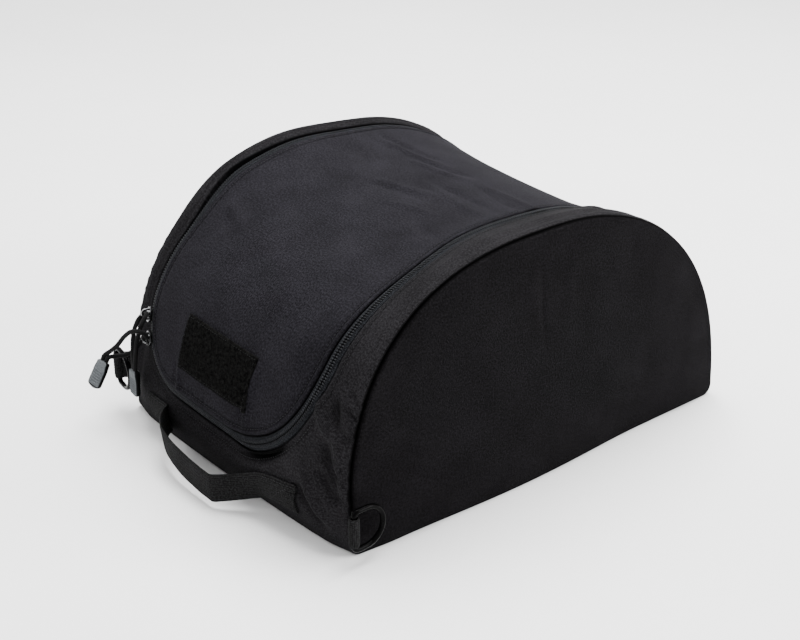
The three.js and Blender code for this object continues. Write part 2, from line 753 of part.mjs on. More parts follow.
// Doubled cord: up one strand from the grip, through the slider's bridge, back down the other
function pullCord(pull, seat) {
  const frame = gripFrame(pull);
  const enter = (side) => pull.top.clone()
    .addScaledVector(frame.wide, side * GRIP.strand).addScaledVector(frame.down, -GAP);
  const above = (side) => enter(side).addScaledVector(frame.down, -CORD_LEAD);
  const route = [
    enter(-1), above(-1), ...[...pull.first].reverse(),
    seat.eye.clone().addScaledVector(seat.wide, -CORD_THROUGH), seat.eye.clone(),
    seat.eye.clone().addScaledVector(seat.wide, CORD_THROUGH),
    ...pull.second, above(1), enter(1),
  ];
  const circle = new THREE.Shape();
  for (let k = 0; k < CORD_SIDES; k += 1) {
    const a = (k / CORD_SIDES) * 2 * Math.PI;
    const p = [(CORD / 2) * Math.cos(a), (CORD / 2) * Math.sin(a)];
    if (k === 0) {
      circle.moveTo(...p);
    } else {
      circle.lineTo(...p);
    }
  }
  circle.closePath();
  const extrudePath = new THREE.CatmullRomCurve3(route);
  return new THREE.ExtrudeGeometry(circle, { steps: CORD_STEPS, bevelEnabled: false, extrudePath });
}

const bag = new THREE.Group();
bag.name = 'helmet_bag';

function add(name, geometry, finish) {
  const mesh = new THREE.Mesh(geometry, new THREE.MeshStandardMaterial(finish));
  mesh.name = name;
  bag.add(mesh);
  return mesh;
}

add('base_panel', basePanel(), END_BLACK);
add('end_panel_right', endPanel(1), END_BLACK);
add('end_panel_left', endPanel(-1), END_BLACK);
add('body_band', bodyBand(), GUSSET_GREY);
add('lid_flap', lid(), LID_GREY);
add('zip_tape_lid', zipTape(GAP, GAP + TAPE, 'far'), TAPE_GREY);
add('zip_tape_body', zipTape(2 * GAP + TAPE, 2 * GAP + 2 * TAPE, 'near'), TAPE_GREY);
add('loop_patch', loopPatch(), LOOP_BLACK);
add('carry_handle', handle(), WEB_BLACK);

for (const [side, ring] of [['right', RING_RIGHT], ['left', RING_LEFT]]) {
  const hoop = add(`d_ring_${side}`, dRing(), RING_BLACK);
  hoop.position.set(ring.x, ring.y, ring.z);
  hoop.rotation.z = rad(ring.turn);
  add(`d_ring_tab_${side}`, ringTab(ring), WEB_BLACK).position.set(ring.x, ring.y, ring.z);
}

for (const place of ['upper', 'lower']) {
  const seat = sliderSeat(SLIDER_TURN[place]);
  const runner = add(`slider_${place}`, slider(), NICKEL);
  runner.applyMatrix4(new THREE.Matrix4().makeBasis(seat.run, seat.wide, seat.out).setPosition(seat.foot));
  const pull = PULLS[place];
  add(`pull_cord_${place}`, pullCord(pull, seat), CORD_BLACK);
  const frame = gripFrame(pull);
  const tongue = add(`pull_grip_${place}`, grip(), GRIP_GREY);
  const up = frame.down.clone().negate();
  const thick = up.clone().cross(frame.wide);
  tongue.applyMatrix4(new THREE.Matrix4().makeBasis(frame.wide, thick, up).setPosition(pull.top));
}

export default bag;
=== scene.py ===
# %% [markdown]
# # A soft helmet bag
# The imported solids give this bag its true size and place. They are plain, because their work
# is to be measured and to collide. This lesson sews a finer bag over them: cloth that sags and
# puckers along its seams, a coil zip, a fuzzy loop patch, webbing, rings and cord pulls.
# Lengths in the tables are millimetres, as on a sewing pattern, and become metres at the mesh.

import math

import bmesh
import bpy
import numpy as np
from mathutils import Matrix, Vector


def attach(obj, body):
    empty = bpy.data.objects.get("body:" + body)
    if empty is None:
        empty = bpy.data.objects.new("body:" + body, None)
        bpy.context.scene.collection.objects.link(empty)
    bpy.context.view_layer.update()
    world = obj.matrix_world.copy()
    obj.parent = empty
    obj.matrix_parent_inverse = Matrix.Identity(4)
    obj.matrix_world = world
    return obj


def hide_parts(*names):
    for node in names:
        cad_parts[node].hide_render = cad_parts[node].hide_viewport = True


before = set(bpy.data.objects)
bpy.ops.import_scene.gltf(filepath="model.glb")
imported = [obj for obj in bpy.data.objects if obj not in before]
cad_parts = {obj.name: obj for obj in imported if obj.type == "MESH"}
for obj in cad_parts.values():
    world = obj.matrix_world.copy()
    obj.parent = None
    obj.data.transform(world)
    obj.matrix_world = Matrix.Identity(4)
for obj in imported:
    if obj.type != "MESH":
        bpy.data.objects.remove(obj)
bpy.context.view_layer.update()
MM = 0.001


def placed(name, data):
    """A new object in the scene, at the origin."""
    made = bpy.data.objects.new(name, data)
    bpy.context.scene.collection.objects.link(made)
    return made


# %% [markdown]
# The camera stands where the photographer stood: to the right of the front, and above. Its
# angle, distance and focal length were found from the photograph by matching the bag's arches
# and bottom edges, so no shift of the lens is needed.

# %% Camera
VIEW = {"azimuth": 49.986, "elevation": 25.39, "distance": 1338.0, "focal_px": 1508.18}
LOOK_AT = Vector((-35.0, 0.0, 64.8)) * MM
PICTURE_WIDTH = 800
SENSOR = 36.0
CLIP = (0.05, 40)

azimuth = math.radians(VIEW["azimuth"])
elevation = math.radians(VIEW["elevation"])
toward_eye = Vector((
    math.sin(azimuth) * math.cos(elevation),
    -math.cos(azimuth) * math.cos(elevation),
    math.sin(elevation),
))
camera = placed("photo_camera", bpy.data.cameras.new("photo_camera"))
camera.data.sensor_fit = "HORIZONTAL"
camera.data.sensor_width = SENSOR
camera.data.lens = VIEW["focal_px"] * SENSOR / PICTURE_WIDTH
camera.data.clip_start, camera.data.clip_end = CLIP
camera.location = LOOK_AT + toward_eye * VIEW["distance"] * MM
camera.rotation_euler = (-toward_eye).to_track_quat("-Z", "Y").to_euler()
bpy.context.scene.camera = camera
print("lens, mm:", round(camera.data.lens, 2))

# %% [markdown]
# Every piece below becomes a mesh in the same way: points in millimetres, faces as lists of
# point numbers, and for cloth a UV map that holds the place on the flat cut, so that a weave
# follows the cloth round its bends. A second value per point, the crease shade, tells how deep
# a place lies in a seam, groove or gap; the finishes paint shade there, darker where it is
# higher. The normals are recalculated at the end.

# %% Helpers that turn points into pieces
def grid_faces(rows, columns, start=0, ring=False):
    """Quads between rows of points; a ring joins the last column to the first."""
    i, j = np.meshgrid(np.arange(rows - 1), np.arange(columns if ring else columns - 1), indexing="ij")
    a = start + i * columns + j
    b = start + i * columns + (j + 1) % columns
    return np.stack([a, b, b + columns, a + columns], -1).reshape(-1, 4).tolist()


def to_piece(name, points, faces, finish, uv=None, sharp=48, crease_shade=None):
    """A closed mesh object, smooth but for edges sharper than an angle.

    UV places and crease shade values given for one face of a cloth serve for its other face too.
    """
    mesh = bpy.data.meshes.new(name)
    mesh.from_pydata((np.asarray(points, float) * MM).tolist(), [], faces)
    count = len(mesh.vertices)
    if uv is not None:
        corner = np.zeros(len(mesh.loops), int)
        mesh.loops.foreach_get("vertex_index", corner)
        cut = np.resize(np.asarray(uv, float), (count, 2))
        mesh.uv_layers.new(name="cut").data.foreach_set("uv", (cut[corner] * MM).ravel())
    # The depth of painted shade at each point, kept as an attribute for the finishes.
    if crease_shade is not None:
        dark = np.resize(np.asarray(crease_shade, float), count)
        mesh.attributes.new("crease_shade", "FLOAT", "POINT").data.foreach_set("value", np.clip(dark, 0, 1))
    work = bmesh.new()
    work.from_mesh(mesh)
    bmesh.ops.recalc_face_normals(work, faces=work.faces)
    work.to_mesh(mesh)
    work.free()
    mesh.shade_smooth()
    mesh.set_sharp_from_angle(angle=math.radians(sharp))
    mesh.materials.append(finish)
    print(name, "faces:", len(mesh.polygons))
    return placed(name, mesh)


def two_faced(outer, inner, ring=False):
    """Points and faces of a cloth with a real thickness, closed round its rim."""
    rows, columns = outer.shape[:2]
    count = rows * columns
    points = np.concatenate([outer.reshape(-1, 3), inner.reshape(-1, 3)])
    faces = grid_faces(rows, columns, 0, ring) + grid_faces(rows, columns, count, ring)
    number = np.arange(count).reshape(rows, columns)
    rims = [number[0], number[-1]]
    if ring:
        rims = [np.append(r, r[0]) for r in rims]
    else:
        rims += [number[:, 0], number[:, -1]]
    for rim in rims:
        faces += [[int(a), int(b), int(b + count), int(a + count)] for a, b in zip(rim[:-1], rim[1:])]
    return points, faces


def unit(vectors):
    return vectors / np.linalg.norm(vectors, axis=-1, keepdims=True)


def walked(points):
    """The length walked from the first of a row of points to each of them."""
    return np.concatenate([[0], np.cumsum(np.linalg.norm(np.diff(points, axis=0), axis=1))])


def tube(path, radius, sides, closed=False):
    """Rings of points round a path, carried along it without twist."""
    path = np.asarray(path, float)
    ahead = np.roll(path, -1, 0) - np.roll(path, 1, 0)
    if not closed:
        ahead[0] = path[1] - path[0]
        ahead[-1] = path[-1] - path[-2]
    ahead = unit(ahead)
    turn = np.linspace(0, 2 * math.pi, sides, endpoint=False)[:, None]
    side = np.cross(ahead[0], (0.31, 0.52, 0.8))
    rings = []
    for point, along in zip(path, ahead):
        side = unit(side - along * (side @ along))
        rings.append(point + radius * (np.cos(turn) * side + np.sin(turn) * np.cross(along, side)))
    faces = grid_faces(len(path) + closed, sides, 0, True)
    if closed:
        faces = (np.array(faces) % (len(path) * sides)).tolist()
    else:
        faces += [list(range(sides)), list(range((len(path) - 1) * sides, len(path) * sides))]
    return np.array(rings).reshape(-1, 3), faces


# %% [markdown]
# Soft forms are sums of three simple curves: a soft step, a hump, and a straight fall from an
# edge. They are short to write, and every height and width keeps its meaning in millimetres.

# %% Three simple curves
def ease(a, b, t):
    """0 before a, 1 after b, and a soft step between."""
    u = np.clip((t - a) / (b - a), 0, 1)
    return u * u * (3 - 2 * u)


def hump(t, middle, half):
    """1 at the middle, fading out on both sides over a half width."""
    return np.exp(-(((t - middle) / half) ** 2))


def near(distance, reach):
    """1 at no distance, falling straight to 0 at a reach."""
    return np.clip(1 - distance / reach, 0, 1)


# %% [markdown]
# Finishes are node materials. Cloth, webbing and tape share one recipe: two crossed bands of
# threads read from the cut's own UV map, a fine noise for the fibres and a broad noise for
# handling marks. The threads move the colour a little and raise a bump; a sheen brightens the
# cloth where it turns away, as brushed nylon does. Where a piece's crease shade value is high,
# painted shade darkens the colour.

# %% Cloth finish
WEAVE = {"wander": 1.2, "share": 0.45, "step": 0.0004}
FIBRE = {"Scale": 620.0, "Detail": 4.0, "Roughness": 0.75}
MARKS = {"Scale": 24.0, "Detail": 4.0, "Roughness": 0.6}
MARKS_SHARE = 0.5
FIBRE_RANGE = (0.28, 0.72)
TONE_RANGE = (0.65, 1.21)
# The light left in the darkest painted shade of seams, grooves and gaps.
LIGHT_LEFT_IN_PAINTED_SHADE = 0.04


def fill(tree, node, inputs):
    """Sets a node's inputs: another node's output is joined on, the rest are constants."""
    for key, value in inputs.items():
        if isinstance(value, bpy.types.NodeSocket):
            tree.links.new(value, node.inputs[key])
        else:
            node.inputs[key].default_value = value


def adder(tree):
    """A short way to add nodes to a tree; each call gives back one output of its node."""
    def add(kind, inputs=None, out=0, **settings):
        node = tree.nodes.new(kind)
        for key, value in settings.items():
            setattr(node, key, value)
        fill(tree, node, inputs or {})
        return None if out is None else node.outputs[out]

    return add


def new_finish(name):
    """An empty material, a way to add its nodes and a way to fill its shader."""
    finish = bpy.data.materials.new(name)
    finish.use_nodes = True
    tree = finish.node_tree
    return finish, adder(tree), lambda inputs: fill(tree, tree.nodes["Principled BSDF"], inputs)


def blend_colours(add, factor, low, high):
    """A mix of two colours; its sockets 0, 6 and 7 take the factor and the colours."""
    return add("ShaderNodeMix", {0: factor, 6: (*low, 1), 7: (*high, 1)}, out=2, data_type="RGBA")


def ranged(add, value, given, wanted=(0.0, 1.0)):
    """A value moved from one range to another."""
    ends = dict(zip(("From Min", "From Max", "To Min", "To Max"), (*given, *wanted)))
    return add("ShaderNodeMapRange", {"Value": value, **ends})


def arithmetic(add, operation, *values):
    return add("ShaderNodeMath", dict(enumerate(values)), operation=operation)


def threads_across(add, place, direction, spacing, **wander):
    """Bands at a spacing in millimetres; at scale 1 the wave has 20 bands in 2 pi."""
    inputs = {"Vector": place, "Scale": 2 * math.pi / (20 * spacing * MM), **wander}
    return add("ShaderNodeTexWave", inputs, "Fac", wave_type="BANDS", bands_direction=direction)


def paint_crease_shade(add, colour, least):
    """Painted shade: a colour made darker where the piece's crease shade value is high."""
    crease_shade = add("ShaderNodeAttribute", out="Fac", attribute_name="crease_shade")
    light = ranged(add, crease_shade, (0.0, 1.0), (1.0, least))
    return add("ShaderNodeVectorMath", {"Vector": colour, "Scale": light}, operation="SCALE")


def cloth_finish(
    name, dark, light, threads=(0.9, 0.9), relief=0.5, roughness=0.8, sheen=0.003, shine=0.018
):
    """Woven cloth; threads gives the spacing across and along the cut in millimetres."""
    finish, add, shade = new_finish(name)
    place = add("ShaderNodeUVMap", uv_map="cut")
    warp, weft = (
        threads_across(add, place, direction, spacing, Distortion=WEAVE["wander"], Detail=1.0)
        for direction, spacing in zip("XY", threads)
    )
    weave = arithmetic(add, "MULTIPLY", warp, weft)
    fibre = ranged(add, add("ShaderNodeTexNoise", {"Vector": place, **FIBRE}), FIBRE_RANGE)
    marks = add("ShaderNodeTexNoise", {"Vector": place, **MARKS})
    grain = arithmetic(add, "MULTIPLY_ADD", weave, WEAVE["share"], fibre)
    tone = arithmetic(add, "MULTIPLY_ADD", marks, MARKS_SHARE, grain)
    woven = blend_colours(add, ranged(add, tone, TONE_RANGE), dark, light)
    # The base colour carries painted shade in seams, grooves and gaps.
    shade({
        "Base Color": paint_crease_shade(add, woven, LIGHT_LEFT_IN_PAINTED_SHADE),
        "Normal": add("ShaderNodeBump", {"Height": grain, "Strength": relief, "Distance": WEAVE["step"]}),
        "Roughness": roughness, "Specular IOR Level": shine, "Sheen Weight": sheen, "Sheen Roughness": 0.45,
    })
    return finish


LID_CLOTH = cloth_finish("lid_cloth", (0.0036, 0.0034, 0.0042), (0.0172, 0.0163, 0.0200))
GUSSET_CLOTH = cloth_finish("gusset_cloth", (0.0033, 0.0031, 0.0034), (0.0188, 0.0180, 0.0198))
END_CLOTH = cloth_finish(
    "end_cloth", (0.0017, 0.0016, 0.0017), (0.0079, 0.0073, 0.0083), sheen=0.0015, shine=0.014
)
WEBBING_CLOTH = cloth_finish(
    "webbing_black", (0.0024, 0.0024, 0.0024), (0.0182, 0.0182, 0.0186), (1.7, 1.1), 0.8, 0.7
)
TAPE_CLOTH = cloth_finish(
    "zip_tape_cloth", (0.0030, 0.0032, 0.0037), (0.0190, 0.0202, 0.0235), (1.2, 1.3), 0.8, 0.6
)

# %% [markdown]
# The other finishes are not woven flat cloth. The cord's braid winds round it, so its bands run
# aslant on the cord's own UV. The loop pile is nearly black and rough. The rings are enamelled
# black wire, the sliders dark nickel, and the pulls' grips are pale moulded rubber.

# %% Cord, pile, metal and rubber finishes
BRAID = {"spacing": 0.9, "slant": 40, "step": 0.0004}
MOTTLE_RANGE = (0.34, 0.66)
MOTTLE_STEP = 0.0003


def cord_finish():
    finish, add, shade = new_finish("cord_black")
    place = add("ShaderNodeUVMap", uv_map="cut")
    strands = []
    for slant in (BRAID["slant"], -BRAID["slant"]):
        turned = add("ShaderNodeMapping", {"Vector": place, "Rotation": (0, 0, math.radians(slant))})
        strands.append(threads_across(add, turned, "X", BRAID["spacing"]))
    braid = arithmetic(add, "MAXIMUM", *strands)
    shade({
        "Base Color": blend_colours(add, braid, (0.0008, 0.0008, 0.0008), (0.0056, 0.0056, 0.0058)),
        "Normal": add("ShaderNodeBump", {"Height": braid, "Strength": 0.7, "Distance": BRAID["step"]}),
        "Roughness": 0.62, "Specular IOR Level": 0.05, "Sheen Weight": 0.01,
    })
    return finish


def solid_finish(name, dark, light, grain, roughness, metal=0.0, relief=0.1, shine=0.3, least=0.2):
    """A solid material whose colour and gloss wander with a noise in the piece's own space."""
    finish, add, shade = new_finish(name)
    place = add("ShaderNodeTexCoord", out="Object")
    noise = add("ShaderNodeTexNoise", {"Vector": place, "Scale": grain, "Detail": 5.0, "Roughness": 0.6})
    mottled = blend_colours(add, ranged(add, noise, MOTTLE_RANGE), dark, light)
    # The base colour carries painted shade where the piece has crease shade values; least is the light left
    # in the darkest of it.
    shade({
        "Base Color": paint_crease_shade(add, mottled, least),
        "Roughness": ranged(add, noise, (0.0, 1.0), roughness),
        "Normal": add("ShaderNodeBump", {"Height": noise, "Strength": relief, "Distance": MOTTLE_STEP}),
        "Metallic": metal, "Specular IOR Level": shine,
    })
    return finish


CORD_BRAID = cord_finish()
LOOP_PILE = solid_finish(
    "loop_pile_black", (0.0001, 0.0001, 0.0001), (0.0098, 0.0098, 0.0094), 440, (0.9, 1.0), shine=0.03
)
THREAD = solid_finish(
    "sewing_thread", (0.002, 0.002, 0.0022), (0.0095, 0.0092, 0.0105), 1500, (0.5, 0.7), shine=0.12
)
COIL_NYLON = solid_finish(
    "zip_coil_nylon", (0.005, 0.0053, 0.0061), (0.0190, 0.0202, 0.0235), 700, (0.4, 0.55), shine=0.1
)
RING_METAL = solid_finish(
    "black_enamel", (0.0003, 0.0003, 0.0003), (0.0013, 0.0013, 0.0014), 260, (0.12, 0.22), shine=0.026
)
SLIDER_METAL = solid_finish(
    "dark_nickel", (0.020, 0.021, 0.022), (0.115, 0.117, 0.12), 420, (0.12, 0.3), metal=1.0
)
# The grips' painted shade on their sides and end groove goes almost black.
GRIP_RUBBER = solid_finish(
    "pale_grip_rubber", (0.066, 0.071, 0.075), (0.108, 0.116, 0.123), 900, (0.5, 0.65),
    relief=0.3, shine=0.03, least=0.02,
)

# %% [markdown]
# Each zip slider is pulled by one doubled cord: it leaves the grip, goes up, through the bridge
# of the slider and back down into the grip. The photograph shows both cords from end to end, so
# their lengths are read from it. A cord is a tube along one smooth route, and the route is the
# solids' own. The upper slider's cord hangs straight down; the lower one's swings out to the left.

# %% Pull cords
CORD_THICK = 3.9
CORD_STEPS = 110
CORD_SIDES = 14
SPAN_STEPS = 12
CORD_ROUTES = {
    "upper": [
        (-123.0, -220.1, 54.9), (-122.9, -220.0, 58.9), (-123.9, -219.2, 69.0), (-124.6, -217.8, 80.0),
        (-127.0, -214.0, 88.5), (-129.8, -207.5, 95.0), (-128.2, -203.1, 98.7), (-125.1, -203.5, 99.9),
        (-121.9, -204.0, 101.2), (-118.4, -208.2, 100.0), (-117.2, -213.9, 93.0), (-118.6, -217.2, 82.0),
        (-119.0, -219.4, 69.0), (-118.8, -221.0, 58.7), (-119.0, -221.1, 54.7),
    ],
    "lower": [
        (-137.1, -237.7, 61.1), (-136.6, -235.9, 64.6), (-134.6, -230.0, 65.0), (-131.5, -223.0, 65.0),
        (-127.4, -216.8, 68.5), (-122.8, -213.0, 75.5), (-119.0, -210.5, 80.8), (-116.3, -210.7, 82.8),
        (-113.6, -210.8, 84.9), (-110.8, -213.5, 89.0), (-112.0, -219.0, 93.0), (-117.5, -222.8, 92.0),
        (-124.6, -226.0, 85.4), (-131.2, -229.6, 76.0), (-136.6, -234.0, 69.8), (-140.5, -237.2, 65.8),
        (-140.9, -239.0, 62.2),
    ],
}


def smooth_path(points, steps):
    """Evenly spaced points on a curve through the given ones that does not overshoot them."""
    p = np.asarray(points, float)
    p = np.concatenate([[2 * p[0] - p[1]], p, [2 * p[-1] - p[-2]]])
    knots = np.concatenate([[0], np.cumsum(np.sqrt(np.linalg.norm(np.diff(p, axis=0), axis=1)))])

    def blend(a, b, from_knot, to_knot, t):
        return (a * (to_knot - t) + b * (t - from_knot)) / (to_knot - from_knot)

    dense = []
    for k in range(1, len(p) - 2):
        t = np.linspace(knots[k], knots[k + 1], SPAN_STEPS, endpoint=False)[:, None]
        a, b, c = (blend(p[j], p[j + 1], knots[j], knots[j + 1], t) for j in (k - 1, k, k + 1))
        left = blend(a, b, knots[k - 1], knots[k + 1], t)
        right = blend(b, c, knots[k], knots[k + 2], t)
        dense.append(blend(left, right, knots[k], knots[k + 1], t))
    dense = np.concatenate(dense + [p[-2:-1]])
    run = walked(dense)
    at = np.linspace(0, run[-1], steps)
    return np.stack([np.interp(at, run, dense[:, k]) for k in range(3)], -1)


def length_of(path):
    return float(walked(path)[-1])


cord_paths = {place: smooth_path(route, CORD_STEPS) for place, route in CORD_ROUTES.items()}
cords = {}
for place, path in cord_paths.items():
    along = np.linspace(0, length_of(path), CORD_STEPS)
    around = np.arange(CORD_SIDES) * math.pi * CORD_THICK / CORD_SIDES
    uv = np.stack(np.meshgrid(along, around, indexing="ij"), -1)
    cords[place] = to_piece(f"cord_{place}", *tube(path, CORD_THICK / 2, CORD_SIDES), CORD_BRAID, uv)
    print(place, "cord length, mm:", round(length_of(path), 1))


# %% [markdown]
# The photograph is a studio cut-out: white all round, with soft light from above and a little
# from behind on the right, so the lid glows, the front panel falls into shade and the end panel
# brightens toward the back. Large area lights and a pale floor give that.

# %% Floor and light
FLOOR = {"half": 6.0, "drop": 0.0006}
WORLD_LIGHT = 1.3
LIT_POINT = Vector((0, 0, 0.1))
LIGHTS = [
    # name, place in metres, size, watts
    ("top_softbox", (-0.2, 0.45, 1.9), 1.6, 130.0),
    ("right_back_panel", (1.7, 1.35, 0.8), 1.1, 66.0),
    ("left_front_fill", (-1.2, -1.5, 1.1), 1.2, 10.0),
]

corners = [(x * FLOOR["half"], y * FLOOR["half"], 0) for x, y in ((-1, -1), (1, -1), (1, 1), (-1, 1))]
floor_mesh = bpy.data.meshes.new("floor")
floor_mesh.from_pydata(corners, [], [(0, 1, 2, 3)])
floor_mesh.materials.append(
    solid_finish("pale_floor", (0.86, 0.86, 0.86), (0.9, 0.9, 0.9), 2, (0.8, 0.9), relief=0.0)
)
floor = placed("floor", floor_mesh)
floor.location.z = -FLOOR["drop"]

world = bpy.data.worlds.new("studio")
world.use_nodes = True
fill(world.node_tree, world.node_tree.nodes["Background"], {"Color": (1, 1, 1, 1), "Strength": WORLD_LIGHT})
bpy.context.scene.world = world
for name, place, size, watts in LIGHTS:
    lamp = bpy.data.lights.new(name, "AREA")
    lamp.size = size
    lamp.energy = watts
    holder = placed(name, lamp)
    holder.location = place
    holder.rotation_euler = (LIT_POINT - holder.location).to_track_quat("-Z", "Y").to_euler()
print("lights:", len(LIGHTS))

# %% [markdown]
# The whole wall of the bag is one idea: an arch swept across the bag. A place on it is (x, s),
# with x across and s the walk from the front hem over the top to the back hem. The lid, the
# zip, the patch and the seams are regions of that flat plane, so they always lie on the cloth.
# The lid sags between the end panels, deepest right of the middle, the front bulges, and the left
# gusset stands fuller over its front shoulder.

# %% The arch and its softness
BAG = {"depth": 410, "height": 214, "half": 155, "lean": 13}
ARCH_STEPS = {"foot": 8, "arch": 401}
FOOT = {"front": 5, "back": 12}
POWER = {"front": 2.57, "back": 2.32}
SAG = {
    "depth": 12.8, "middle": 30, "left": 185, "right": 105, "power": 2.5,
    "rise": (140, 270), "fall": (255, 85),
}
BULGE = {"depth": 18, "power": 3, "rise": (0, 45), "fall": (111, 246)}
SHOULDER = {"out": 5.5, "from": 60, "rise": (165, 240), "fall": (285, 385)}
BOW = {"out": 4.5, "power": 3, "fade": (20, 60)}


def arch_table():
    """The arch as walked length, y and z."""
    points = []
    quarter = np.linspace(0, math.pi / 2, ARCH_STEPS["foot"], endpoint=False)
    reach = BAG["depth"] / 2
    for a in quarter:
        points.append((-(reach - FOOT["front"] * (1 - math.sin(a))), FOOT["front"] * (1 - math.cos(a))))
    for a in np.linspace(0, math.pi, ARCH_STEPS["arch"]):
        part = "front" if math.cos(a) > 0 else "back"
        power = 2 / POWER[part]
        y = -math.copysign(abs(math.cos(a)) ** power * reach, math.cos(a))
        points.append((y, FOOT[part] + abs(math.sin(a)) ** power * (BAG["height"] - FOOT[part])))
    for a in quarter[::-1]:
        points.append((reach - FOOT["back"] * (1 - math.sin(a)), FOOT["back"] * (1 - math.cos(a))))
    points = np.array(points)
    return walked(points), points[:, 0], points[:, 1]


ARCH = arch_table()
HEM = ARCH[0][-1]


def between(rise, fall, s):
    """1 along a stretch, with a soft rise before it and a soft fall after it."""
    return ease(*rise, s) * (1 - ease(*fall, s))


def toward_side(x, power):
    """1 in the middle of the bag, falling to 0 at both sides."""
    return 1 - np.minimum(1, np.abs(x) / BAG["half"]) ** power


def softness(x, s):
    """How far the wall stands out from the plain arch."""
    reach = np.where(x < SAG["middle"], SAG["left"], SAG["right"])
    hollow = 1 - np.minimum(1, np.abs(x - SAG["middle"]) / reach) ** SAG["power"]
    back = (HEM - SAG["fall"][0], HEM - SAG["fall"][1])
    bulge = BULGE["depth"] * toward_side(x, BULGE["power"]) * between(BULGE["rise"], BULGE["fall"], s)
    fuller = ease(SHOULDER["from"], BAG["half"], -x) * between(SHOULDER["rise"], SHOULDER["fall"], s)
    return bulge - SAG["depth"] * hollow * between(SAG["rise"], back, s) + SHOULDER["out"] * fuller


def bow(x, s):
    """How far the front panel stands forward near its lower edge."""
    return BOW["out"] * toward_side(x, BOW["power"]) * (1 - ease(*BOW["fade"], s))


print("walk over the arch, mm:", round(HEM, 1))

# %% [markdown]
# The lid's outline rules the rest: the zip runs round it and the body's cloth begins outside
# it. Its front corners are round, the right one rounder, and both sides lean to the left near
# the back. Two helpers are enough: a walk along the edge, and a measure of how far inside
# the edge any place lies.

# %% The lid's edge
LID = {"left": -121, "right": 109, "front": 62, "back": HEM - 105, "round_left": 58, "round_right": 84}
DRIFT = {"left": (-10, 170, 80), "right": (-8, 230, 100)}
ZIP_WIDTH = 12.3
WALK_STEP = 2.6
LEFT_TURN = (LID["left"] + LID["round_left"], LID["front"] + LID["round_left"])
RIGHT_TURN = (LID["right"] - LID["round_right"], LID["front"] + LID["round_right"])
TURNS = {"right": (1, RIGHT_TURN, LID["round_right"]), "left": (-1, LEFT_TURN, LID["round_left"])}


def side_x(side, s):
    """Where a straight side of the lid lies at s."""
    by, start, over = DRIFT[side]
    return LID[side] + by * ease(start, start + over, s)


def edge_walk(step):
    """Stations round the lid: x, s, the way out of the lid, the turn in degrees, the side."""
    rows = []
    for side, (sign, turn_at, radius) in TURNS.items():
        part = []
        straight = LID["back"] - turn_at[1]
        for s in np.linspace(LID["back"], turn_at[1], int(straight / step), endpoint=False):
            slope = (side_x(side, s + 1) - side_x(side, s - 1)) / 2
            long = math.hypot(1, slope)
            part.append((side_x(side, s), s, sign / long, -sign * slope / long, 0.0, sign))
        for a in np.linspace(0, math.pi / 2, int(radius * math.pi / 2 / (0.5 * step))):
            c, n = sign * math.cos(a), math.sin(a)
            part.append((turn_at[0] + radius * c, turn_at[1] - radius * n, c, -n, math.degrees(a), sign))
        rows.append(part)
    across = np.linspace(RIGHT_TURN[0], LEFT_TURN[0], int((RIGHT_TURN[0] - LEFT_TURN[0]) / step))[1:-1]
    front = [(x, LID["front"], 0.0, -1.0, 90.0, 0) for x in across]
    return np.array(rows[0] + front + rows[1][::-1])


def beside(walk, away):
    """The walk moved outward from the lid; inward when away is negative."""
    return walk[:, 0] + walk[:, 2] * away, walk[:, 1] + walk[:, 3] * away


def edge_place(x, s):
    """How far a place lies inside the lid's edge, and how far along the edge it is."""
    x, s = np.broadcast_arrays(np.asarray(x, float), np.asarray(s, float))
    aside = np.minimum(side_x("right", s) - x, x - side_x("left", s))
    inside = np.minimum(aside, s - LID["front"])
    along = np.where(s - LID["front"] < aside, x, s)
    for sign, turn_at, radius in TURNS.values():
        in_turn = ((x - turn_at[0]) * sign > 0) & (s < turn_at[1])
        angle = np.arctan2(turn_at[1] - s, (x - turn_at[0]) * sign)
        inside = np.where(in_turn, radius - np.hypot(x - turn_at[0], s - turn_at[1]), inside)
        along = np.where(in_turn, turn_at[1] - radius * angle, along)
    return inside, along


walk = edge_walk(WALK_STEP)
print("stations round the lid:", len(walk))

# %% [markdown]
# Folds are what makes cloth look like cloth. The ones that the photograph shows are written
# down by where they start and end on the wall: small tension wrinkles at the lid's top right,
# a crease from the patch to the lid's front edge, ridges and gathers in the right gusset, and
# a crease that runs to the right ring. A faint slack ripple keeps the rest from being even.
# Along the front and the left the lid's edge stands proud like a lip and the zip rolls in
# under it, so there the photograph shows no zip at all, only a dark line.

